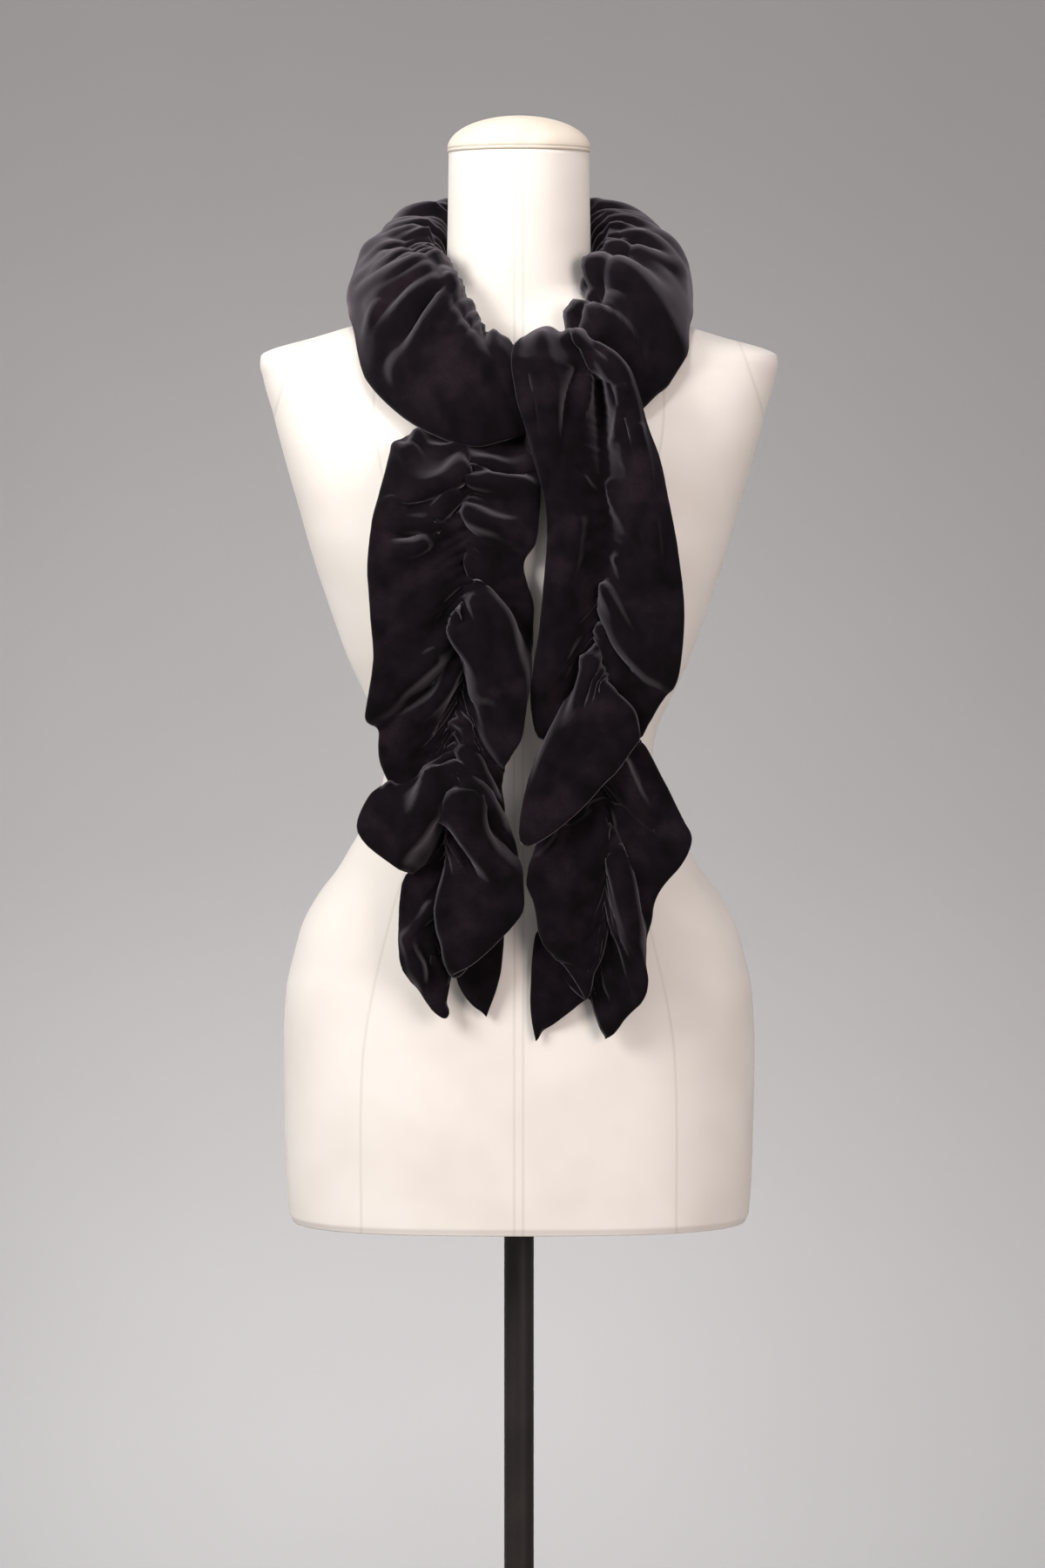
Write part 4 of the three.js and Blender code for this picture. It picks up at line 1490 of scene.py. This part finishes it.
@dataclass(frozen=True)
class Settling:
    """A short cloth simulation in which the velvet has more length than room, so that it buckles softly.

    The held pairs give a share of the way from the gathering line to an edge, and how firmly the
    cloth is held there.
    """

    grow: float = 0.10
    frames: int = 25
    columns: int = 41
    spacing: float = 2.2
    top_rows: int = 2
    held: tuple[tuple[float, float], ...] = ((0, 1), (0.06, 0.6), (0.3, 0.08), (0.85, 0.08), (1, 0.8))
    hold: float = 0.6
    quality: int = 5
    mass: float = 0.25
    stretching: float = 15
    shearing: float = 5
    bending: float = 2.0
    damping: float = 8
    air: float = 3
    smoothing: int = 2

    def moved(self, middle: Array, signed: Array, place: Array) -> Array:
        """Where the cloth goes as it settles.

        Args:
            middle: Middle surface in millimetres, rows by columns by 3.
            signed: Each column's share, from -1 at one edge over 0 at the gathering line to 1.
            place: Each row's place down the cloth.

        Returns:
            The displacement of each point, rows by columns by 3, in millimetres.
        """
        rows = int((place[-1] - place[0]) / self.spacing)
        coarse_place = np.linspace(place[0], place[-1], rows)
        coarse_share = np.linspace(signed[0], signed[-1], self.columns)
        start = resampled(middle, place, coarse_place, signed, coarse_share)
        cloth = self.pinned(start, coarse_share)
        self.give_cloth(cloth)
        shift = self.settled(cloth).reshape(start.shape) / MM - start
        return softened(resampled(shift, coarse_place, place, coarse_share, signed), self.smoothing)

    def pinned(self, start: Array, shares: Array) -> bpy.types.Object:
        """Makes the sheet that settles, held at its top, its gathering line and its edges.

        Args:
            start: Its points in millimetres, rows by columns by 3.
            shares: Each column's share, from -1 to 1.

        Returns:
            The sheet, with the vertex group that holds it.
        """
        rows, columns = start.shape[:2]
        mesh = bpy.data.meshes.new("settling")
        faces = grid_faces(rows, columns, False)
        mesh.from_pydata((start.reshape(-1, 3) * MM).tolist(), [], faces.tolist())
        cloth = bpy.data.objects.new("settling", mesh)
        bpy.context.scene.collection.objects.link(cloth)
        group = cloth.vertex_groups.new(name="held")
        for column, weight in enumerate(np.interp(np.abs(shares), *zip(*self.held))):
            below = np.arange(self.top_rows, rows) * columns + column
            group.add(below.tolist(), float(weight), "REPLACE")
        group.add(list(range(self.top_rows * columns)), 1.0, "REPLACE")
        return cloth

    def give_cloth(self, cloth: bpy.types.Object) -> None:
        """Makes the sheet velvet that grows.

        Args:
            cloth: The pinned sheet.
        """
        settings = cloth.modifiers.new("cloth", "CLOTH").settings
        settings.quality = self.quality
        settings.mass = self.mass
        settings.tension_stiffness = settings.compression_stiffness = self.stretching
        settings.shear_stiffness = self.shearing
        settings.bending_stiffness = self.bending
        settings.tension_damping = settings.compression_damping = self.damping
        settings.shear_damping = self.damping
        settings.air_damping = self.air
        settings.vertex_group_mass = "held"
        settings.pin_stiffness = self.hold
        settings.shrink_min = -self.grow

    def settled(self, cloth: bpy.types.Object) -> Array:
        """Runs the simulation, and removes the sheet.

        Args:
            cloth: The sheet with its cloth settings.

        Returns:
            Its points at the last frame, in metres, in one row.
        """
        scene = bpy.context.scene
        for number in range(1, self.frames + 1):
            scene.frame_set(number)
        shape = cloth.evaluated_get(bpy.context.evaluated_depsgraph_get()).to_mesh()
        end = np.empty(len(shape.vertices) * 3, np.float32)
        shape.vertices.foreach_get("co", end)
        bpy.data.objects.remove(cloth)
        scene.frame_set(1)
        return end


def read_rows(grid: Array, old: Array, new: Array) -> Array:
    """Reads a grid's rows at new places, in straight lines between the old ones.

    Args:
        grid: Rows by columns by 3.
        old: Where the rows are.
        new: Where to read them.

    Returns:
        New rows by columns by 3.
    """
    after = np.clip(np.searchsorted(old, new), 1, len(old) - 1)
    share = np.clip((new - old[after - 1]) / (old[after] - old[after - 1]), 0, 1)[:, None, None]
    return grid[after - 1] * (1 - share) + grid[after] * share


def resampled(values: Array, rows: Array, new_rows: Array, columns: Array, new_columns: Array) -> Array:
    """Reads a grid at new rows and columns, in straight lines between the old ones.

    Args:
        values: Rows by columns by 3.
        rows: Where the rows are.
        new_rows: Where to read them.
        columns: Where the columns are.
        new_columns: Where to read them.

    Returns:
        New rows by new columns by 3.
    """
    down = read_rows(values, rows, new_rows)
    return read_rows(down.transpose(1, 0, 2), columns, new_columns).transpose(1, 0, 2)


def softened(values: Array, times: int) -> Array:
    """A grid whose points move towards their neighbours: half their own, a quarter of each side's.

    Args:
        values: Rows by columns by 3.
        times: How often, along the rows and then along the columns.

    Returns:
        The new grid. Its corners stay.
    """
    out = values.copy()
    for _ in range(times):
        out[1:-1] = out[1:-1] / 2 + (out[:-2] + out[2:]) / 4
        out[:, 1:-1] = out[:, 1:-1] / 2 + (out[:, :-2] + out[:, 2:]) / 4
    return out


@dataclass
class ClothTube:
    """What every stretch of the scarf shares: two layers, puffed between its gathers and its edges."""

    velvet: bpy.types.Material
    cloth: float = 0.8
    edge: float = 3.0
    edge_steps: int = 4

    def across(self, steps: int, width: float) -> Array:
        """Shares from the gathering line to an edge, closer together where the edge turns over.

        Args:
            steps: Steps over the open width.
            width: The wing's width in millimetres.

        Returns:
            Shares from 0 to 1.
        """
        start = 1 - self.edge / width
        turn = np.sin(np.linspace(0, math.pi / 2, self.edge_steps + 1)[1:])
        return np.concatenate([np.linspace(0, start, steps + 1), start + (1 - start) * turn])

    def rounding(self, share: Array, width: float) -> Array:
        """How much of its thickness a wing has.

        Args:
            share: Shares from the gathering line to the edge.
            width: The wing's width in millimetres.

        Returns:
            Shares of the thickness: 1 inside, and the root of 1 - t * t over the edge.
        """
        start = 1 - self.edge / width
        past = np.clip((share - start) / (1 - start), 0, 1)
        return np.sqrt(np.maximum(1 - past**2, 0))

    def finish(self, name: str, middle: Array, front: Array, back: Array, rim: Array) -> bpy.types.Object:
        """Makes the tube's mesh and gives its cloth a thickness inwards.

        Args:
            name: The object's name.
            middle: Middle surface in millimetres.
            front: Stand-off of the front layer.
            back: Stand-off of the back layer.
            rim: How near each column is to a turned edge, 0 to 1.

        Returns:
            The object, riding on the root.
        """
        points, faces = tube_of(middle, front, back)
        made = add_mesh(name, points, faces, self.velvet)
        add_value(made, RIM, np.tile(np.concatenate([rim, rim[-2:0:-1]]), len(middle)))
        facing_out(made)
        wall = made.modifiers.new("cloth", "SOLIDIFY")
        wall.thickness = self.cloth * MM
        wall.offset = -1
        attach(made, "root")
        return made


@dataclass
class Tail(ClothTube):
    """One hanging end of the scarf: leaf-shaped folds that cascade down its two wings.

    The gathered and buckled pairs give a place down the gathering line, and how much of the gathers
    or of the settling shows there. The cloth is flatter near its sewn end.
    """

    name: str = ""
    node: str = ""
    hang: Table = RIGHT_TAIL_HANG
    line: Table = RIGHT_TAIL_LINE
    wings: tuple[Table, Table] = (RIGHT_TAIL_SIDE_WING, RIGHT_TAIL_INNER_WING)
    creases: Table = RIGHT_TAIL_CREASES
    step: float = 1.3
    steps_across: int = 24
    width: float = 52
    puff: float = 2.1
    stitched: float = 0.9
    puffed_by: float = 0.45
    relief: float = 1.6
    relief_loss: float = 0.6
    relief_fade: tuple[float, float] = (0.75, 1)
    gathers: Gathers = Gathers(closest=5, widest=10, height=3.0, reach=0.3, slant=4)
    ripple: Ripple = Ripple(height=1.6, shortest=18, longest=60)
    rippled_by: float = 0.4
    gathered: tuple[tuple[float, float], ...] = ((0, 1),)
    settling: Settling = Settling()
    buckled: tuple[tuple[float, float], ...] = ((0, 0.3), (200, 0.5))
    sewn_end: float = 9
    sewn_share: float = 0.25
    rim_share: tuple[float, float] = (0.86, 0.97)
    table_smoothing: int = 4
    normal_smoothing: int = 3
    seed: int = 3
    flat: tuple[float, float] = (0.28, 0.57)

    def hung(self, x: Array, z: Array, out: Array) -> Array:
        """Points across, down and so far in front of the hanging cloth."""
        return np.stack([x, -self.hang.at("y", z) - out, z], -1)

    def wing(self, table: Table, down: Array, share: Array) -> Array:
        """Middle surface of one wing: a parabola from the gathering line to the edge at each place down it.

        Args:
            table: The wing's folds.
            down: Places down the gathering line.
            share: Places across the wing.

        Returns:
            Points, rows by columns by 3.
        """
        read = {name: table.at(name, down) for name in FOLD[1:]}
        start = self.hung(self.line.at("x", down), self.line.at("z", down), read["out"])
        middle = self.hung(read["midX"], read["midZ"], read["midOut"])
        end = self.hung(read["edgeX"], read["edgeZ"], read["edgeOut"])
        return bowed(start[:, None], middle[:, None], end[:, None], share[None, :, None])

    def rise(self, middle: Array, down: Array, share: Array, signed: Array) -> Array:
        """How far the cloth's small forms stand out: gathers, creases and a ripple.

        Args:
            middle: The middle surface, rows by columns by 3.
            down: Places down the gathering line.
            share: Shares across one wing.
            signed: Shares across both, from -1 to 1.

        Returns:
            Heights, rows by columns.
        """
        rows, away = down[:, None], np.abs(signed)
        left, right = (
            replace(self.gathers, seed=self.seed + side).rise(rows, share[None, :]) for side in (0, 1)
        )
        pleats = np.concatenate([left[:, ::-1], right[:, 1:]], axis=1)
        pleats = pleats * np.interp(rows, *zip(*self.gathered))
        waves = replace(self.ripple, seed=self.seed).at(rows, signed[None, :] * self.width)
        fading = 1 - self.relief_loss * smooth_step(away, *self.relief_fade)
        creases = self.relief * crease_rise(middle, self.creases) * fading[None, :]
        return pleats + waves * smooth_step(away, 0, self.rippled_by)[None, :] + creases

    def build(self) -> bpy.types.Object:
        """Builds the tail from its fold tables, settles it, and adds its small forms.

        Returns:
            The tail.
        """
        first = max(wing.rows[0][0] for wing in self.wings)
        last = min(wing.rows[-1][0] for wing in self.wings)
        down = np.arange(first, last + self.step / 2, self.step)
        share = self.across(self.steps_across, self.width)
        left, right = (self.wing(table, down, share) for table in self.wings)
        middle = softened(np.concatenate([left[:, ::-1], right[:, 1:]], axis=1), self.table_smoothing)
        signed = np.concatenate([-share[::-1], share[1:]])
        away = np.abs(signed)
        rise = self.rise(middle, down, share, signed)
        puffed = smooth_step(away, 0.0, self.puffed_by)[None, :]
        thick = self.stitched + (self.puff - self.stitched) * puffed
        open_end = smooth_step(last - down, 0, self.sewn_end)[:, None]
        sewn = self.sewn_share + (1 - self.sewn_share) * open_end
        half = thick * self.rounding(away, self.width)[None, :] * sewn
        loose = np.interp(down[:, None], *zip(*self.buckled))
        middle = middle + self.settling.moved(middle, signed, down) * loose[..., None]
        normal = unit(softened(grid_normals(middle), self.normal_smoothing))
        raised = middle + normal * rise[..., None]
        made = self.finish(self.name, raised, half, half, smooth_step(away, *self.rim_share))
        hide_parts(self.node)
        return made


@dataclass
class Collar(ClothTube):
    """The loop round the neck: an inner wing, the gathering line on its crest and a puffed outer wing.

    Pairs named rising and falling are turns in degrees between which something sets in or ends: the
    furrow beside the gathering line in front, and the long gathers and uneven hem behind the neck.
    """

    step: float = 1.15
    steps_across: int = 34
    steps_inside: int = 8
    past_crest: int = 10
    width: float = 80
    puff: float = 5.5
    stitched: float = 1.2
    puffed_by: float = 0.4
    girth: float = 95
    inner_spread: float = 0.55
    inner_drop: float = 1.5
    inner_fade: float = 1.1
    folds: float = 0.7
    fold_fade: float = 0.6
    relief: float = 1.3
    relief_behind: float = 25
    furrow_depth: float = 4.5
    furrow_share: float = 0.15
    furrow_breadth: float = 3.2
    furrow_rising: tuple[float, float] = (14, 24)
    furrow_falling: tuple[float, float] = (78, 92)
    furrow_again: tuple[float, float] = (272, 284)
    behind_rising: tuple[float, float] = (84, 104)
    behind_falling: tuple[float, float] = (258, 276)
    gathers: Gathers = Gathers(closest=3.5, widest=8.0, height=3.4, reach=0.34, slant=6, seed=11)
    long_gathers: Gathers = Gathers(closest=9, widest=19, height=4.2, reach=0.95, slant=14, seed=23)
    ripple: Ripple = Ripple(height=1.1, shortest=18, longest=60, seed=5)
    rippled_by: float = 0.4
    hem: Ripple = Ripple(height=3.4, shortest=36, longest=110, seed=9)
    hem_share: float = 0.5
    rim_share: tuple[float, float] = (0.9, 0.98)
    flat: tuple[float, float] = (0.28, 0.75)
    creases: Table = COLLAR_CREASES

    def round_neck(self, turn: Array, radius: Array, z: Array) -> Array:
        """Points at that turn round the neck from the front, that far from its axis and that high."""
        angle = np.radians(turn)
        return np.stack(np.broadcast_arrays(-radius * np.sin(angle), -radius * np.cos(angle), z), -1)

    def fold_rise(self, turn: Array, share: Array) -> Array:
        """How far the large folds stand out: a bell round each fold's line across the outer wing.

        Args:
            turn: Turns of the rows in degrees, rows by 1.
            share: Shares across the outer wing, 1 by columns.

        Returns:
            Heights, rows by columns.
        """
        total = np.zeros(np.broadcast(turn, share).shape)
        u, v = np.radians(turn) * self.girth, share * self.girth
        for turn_a, across_a, turn_b, across_b, rise, breadth in LOOP_CREASES.rows:
            start = np.array([math.radians(turn_a) * self.girth, across_a * self.girth])
            run = np.array([math.radians(turn_b) * self.girth, across_b * self.girth]) - start
            t = np.clip(((u - start[0]) * run[0] + (v - start[1]) * run[1]) / (run @ run), 0, 1)
            gone = np.hypot(u - start[0] - t * run[0], v - start[1] - t * run[1])
            total += rise * (1 - self.fold_fade * t) * np.exp(-((gone / breadth) ** 2))
        return total

    def inner_wing(self, read: dict[str, Array], turn: Array, drop: Array) -> Array:
        """Middle surface of the inner wing, from its lower edge on the neck up to the gathering line.

        Args:
            read: The sections' columns at each turn.
            turn: Turns of the rows in degrees.
            drop: How far below the line each column is, from 1 at the lower edge.

        Returns:
            Points, rows by columns by 3. The radius falls by a power of the drop under 1 and the
            height by one over 1, so that the wing rolls over before it hangs.
        """
        share = drop[None, :]
        inwards = (read["innerR"] - read["gatherR"])[:, None]
        downwards = (read["innerZ"] - read["gatherZ"])[:, None]
        radius = read["gatherR"][:, None] + inwards * share**self.inner_spread
        height = read["gatherZ"][:, None] + downwards * share**self.inner_drop
        return self.round_neck(turn[:, None], radius, height)

    def outer_wing(self, read: dict[str, Array], turn: Array, outer: Array) -> Array:
        """Middle surface of the outer wing: a parabola from the gathering line to the edge.

        Args:
            read: The sections' columns at each turn.
            turn: Turns of the rows in degrees.
            outer: Shares across the wing.

        Returns:
            Points, rows by columns by 3. Behind the neck the edge rises and falls as a hem does.
        """
        gather, puff, edge = (
            self.round_neck(turn, read[f"{name}R"], read[f"{name}Z"])[:, None]
            for name in ("gather", "puff", "edge")
        )
        wing = bowed(gather, puff, edge, outer[None, :, None])
        rows = turn[:, None]
        behind = stretch_of(rows, self.behind_rising, self.behind_falling)
        hem = self.hem.at(np.radians(rows) * self.girth, 0 * outer[None, :])
        wing[..., 2] += behind * hem * smooth_step(outer, self.hem_share, 1.0)[None, :]
        return wing

    def rise(self, wing: Array, turn: Array, outer: Array, drop: Array) -> Array:
        """How far folds, gathers, creases and a ripple stand out.

        Args:
            wing: The outer wing's middle surface.
            turn: Turns of the rows in degrees.
            outer: Shares across the outer wing.
            drop: How far below the gathering line each column of the inner wing is.

        Returns:
            Heights, rows by the columns of both wings.
        """
        rows, share = turn[:, None], outer[None, :]
        folds = self.fold_rise(rows, share)
        beside = stretch_of(rows, self.furrow_rising, self.furrow_falling)
        beside = beside + smooth_step(rows, *self.furrow_again)
        apart = (share - self.furrow_share) * self.width / self.furrow_breadth
        folds -= self.furrow_depth * beside * np.exp(-(apart**2))
        behind = stretch_of(rows, self.behind_rising, self.behind_falling)
        pleats = self.gathers.rise(rows, share) + behind * self.long_gathers.rise(rows, share)
        ripple = self.ripple.at(np.radians(rows) * self.girth, share * self.width)
        rise = folds * self.folds + pleats + ripple * smooth_step(outer, 0, self.rippled_by)[None, :]
        in_front = 1 - smooth_step(wing[..., 1], 0, self.relief_behind)
        rise += self.relief * crease_rise(wing, self.creases) * in_front
        inside = np.broadcast_to(pleats[:, :1], (len(turn), len(drop)))
        return np.concatenate([inside * np.cos(drop[None, :] * self.inner_fade), rise], axis=1)

    def build(self) -> bpy.types.Object:
        """Builds the collar from its sections, folds, gathers and ripples.

        Returns:
            The collar.
        """
        turn = np.arange(LOOP_SECTIONS.rows[0][0], LOOP_SECTIONS.rows[-1][0] + 0.1, self.step)
        read = {name: LOOP_SECTIONS.at(name, turn) for name in LOOP_SECTIONS.columns[1:]}
        outer = self.across(self.steps_across, self.width)
        drop = np.linspace(1, 0, self.steps_inside + 1)[:-1]
        wing = self.outer_wing(read, turn, outer)
        middle = np.concatenate([self.inner_wing(read, turn, drop), wing], axis=1)
        normal = grid_normals(middle)
        outward = self.round_neck(turn, np.ones_like(turn), np.zeros_like(turn))[:, None]
        beyond = len(drop) + self.past_crest
        sign = np.sign((normal[:, beyond:] * outward).sum(-1).mean())
        raised = middle + sign * normal * self.rise(wing, turn, outer, drop)[..., None]
        rolled = np.sqrt(np.clip(1 - drop**2, 0, 1))
        edged = np.concatenate([rolled, self.rounding(outer, self.width)])[None, :]
        share = np.concatenate([np.zeros(len(drop)), outer])
        puffed = smooth_step(share, 0, self.puffed_by)[None, :]
        half = (self.stitched + (self.puff - self.stitched) * puffed) * edged
        rim = np.concatenate([np.zeros(len(drop)), smooth_step(outer, *self.rim_share)])
        made = self.finish("scarf_collar", raised, half, half, rim)
        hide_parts("scarf_loop_right", "scarf_loop_left")
        return made


# ---------------------------------------------------------------- the studio


@dataclass(frozen=True)
class Lamp:
    """A square soft light: its place and target in metres, width, power, colour and spread in degrees."""

    name: str
    place: tuple[float, float, float]
    target: tuple[float, float, float]
    width: float
    watts: float
    tint: Colour
    spread: float = 180


@dataclass
class Studio:
    """Paper cove, lamps, surroundings and camera. The eye is in metres, and the pitch in degrees down."""

    lens: float = 124.0
    sensor: float = 36
    sees_to: float = 60
    eye: tuple[float, float, float] = (0.0026, -3.970, 1.303)
    pitch: float = 3.05
    cove_front: float = -6500
    cove_depth: float = 1500
    cove_bend: float = 900
    cove_height: float = 4200
    cove_half: float = 4200
    cove_drop: float = 0.6
    cove_rows: int = 24
    cove_columns: int = 12
    surroundings: Colour = (0.93, 0.95, 1.0)
    surroundings_strength: float = 0.38
    lamps: tuple[Lamp, ...] = (
        Lamp(
            name="key",
            place=(-2.0, -1.85, 2.4),
            target=(0, 0, 1.4),
            width=1.2,
            watts=80,
            tint=(1.0, 0.99, 0.98),
        ),
        Lamp(
            name="fill",
            place=(2.0, -3.3, 1.9),
            target=(0, 0, 1.4),
            width=1.8,
            watts=74,
            tint=(1.0, 0.89, 0.86),
        ),
        Lamp(
            name="backdrop_glow",
            place=(-0.3, -1.0, 3.6),
            target=(-0.1, 2.3, -0.05),
            width=0.8,
            watts=9.5,
            tint=(0.98, 0.98, 1.0),
            spread=38,
        ),
    )

    def camera(self) -> None:
        """A long lens at chest height, tilted a little down."""
        data = bpy.data.cameras.new("camera")
        data.lens, data.sensor_width, data.clip_end = self.lens, self.sensor, self.sees_to
        made = bpy.data.objects.new("camera", data)
        made.location = self.eye
        made.rotation_euler = (math.radians(90 - self.pitch), 0, 0)
        bpy.context.scene.collection.objects.link(made)
        bpy.context.scene.camera = made

    def cove(self) -> None:
        """Floor that curves up into a backdrop: a line, a quarter circle and a line, carried across."""
        bend, depth, half = self.cove_bend, self.cove_depth, self.cove_half
        angle = np.linspace(0, math.pi / 2, self.cove_rows)
        y = np.concatenate([[self.cove_front], depth + bend * np.sin(angle), [depth + bend]])
        z = np.concatenate([[0.0], bend * (1 - np.cos(angle)), [self.cove_height]]) - self.cove_drop
        x = np.linspace(-half, half, self.cove_columns)
        points = np.stack(np.broadcast_arrays(x[None, :], y[:, None], z[:, None]), -1).reshape(-1, 3)
        faces = grid_faces(len(y), len(x), False)[:, ::-1]
        add_mesh("paper_cove", points, faces, Paper().material())

    def lamp(self, lamp: Lamp) -> None:
        """Puts up a square soft light.

        Args:
            lamp: Its sizes.
        """
        data = bpy.data.lights.new(lamp.name, "AREA")
        data.size, data.energy, data.color = lamp.width, lamp.watts, lamp.tint
        data.spread = math.radians(lamp.spread)
        made = bpy.data.objects.new(lamp.name, data)
        made.location = lamp.place
        heading = Vector(lamp.target) - Vector(lamp.place)
        made.rotation_euler = heading.to_track_quat("-Z", "Y").to_euler()
        bpy.context.scene.collection.objects.link(made)

    def light(self) -> None:
        """The lamps, and pale surroundings."""
        world = bpy.data.worlds.new("surroundings")
        world.use_nodes = True
        background = world.node_tree.nodes["Background"]
        background.inputs["Color"].default_value = (*self.surroundings, 1)
        background.inputs["Strength"].default_value = self.surroundings_strength
        bpy.context.scene.world = world
        for lamp in self.lamps:
            self.lamp(lamp)
        bpy.context.scene.view_settings.view_transform = "Standard"


def main() -> None:
    """Builds the studio, the form and the scarf in order, and reports each piece."""
    studio = Studio()
    studio.camera()
    studio.cove()
    studio.light()
    form = DressForm()
    pieces = [form.torso(), form.cap(), *form.stand()]
    velvet = Velvet().material()
    stretches = (
        Collar(velvet),
        Tail(velvet, name="scarf_tail_right_velvet", node="scarf_tail_right", flat=(0.28, 0.57)),
        Tail(
            velvet,
            name="scarf_tail_left_velvet",
            node="scarf_tail_left",
            hang=LEFT_TAIL_HANG,
            line=LEFT_TAIL_LINE,
            wings=(LEFT_TAIL_INNER_WING, LEFT_TAIL_SIDE_WING),
            creases=LEFT_TAIL_CREASES,
            gathered=((0, 0.25), (180, 0.3), (205, 1)),
            buckled=((0, 0.15), (180, 0.2), (205, 0.5)),
            seed=7,
            relief=1.2,
            flat=(0.28, 0.66),
        ),
    )
    pieces += [stretch.build() for stretch in stretches]
    for made in pieces:
        LOG.info("%s: %d faces", made.name, len(made.data.polygons))


if __name__ == "__main__":
    logging.basicConfig(level=logging.INFO)
    main()
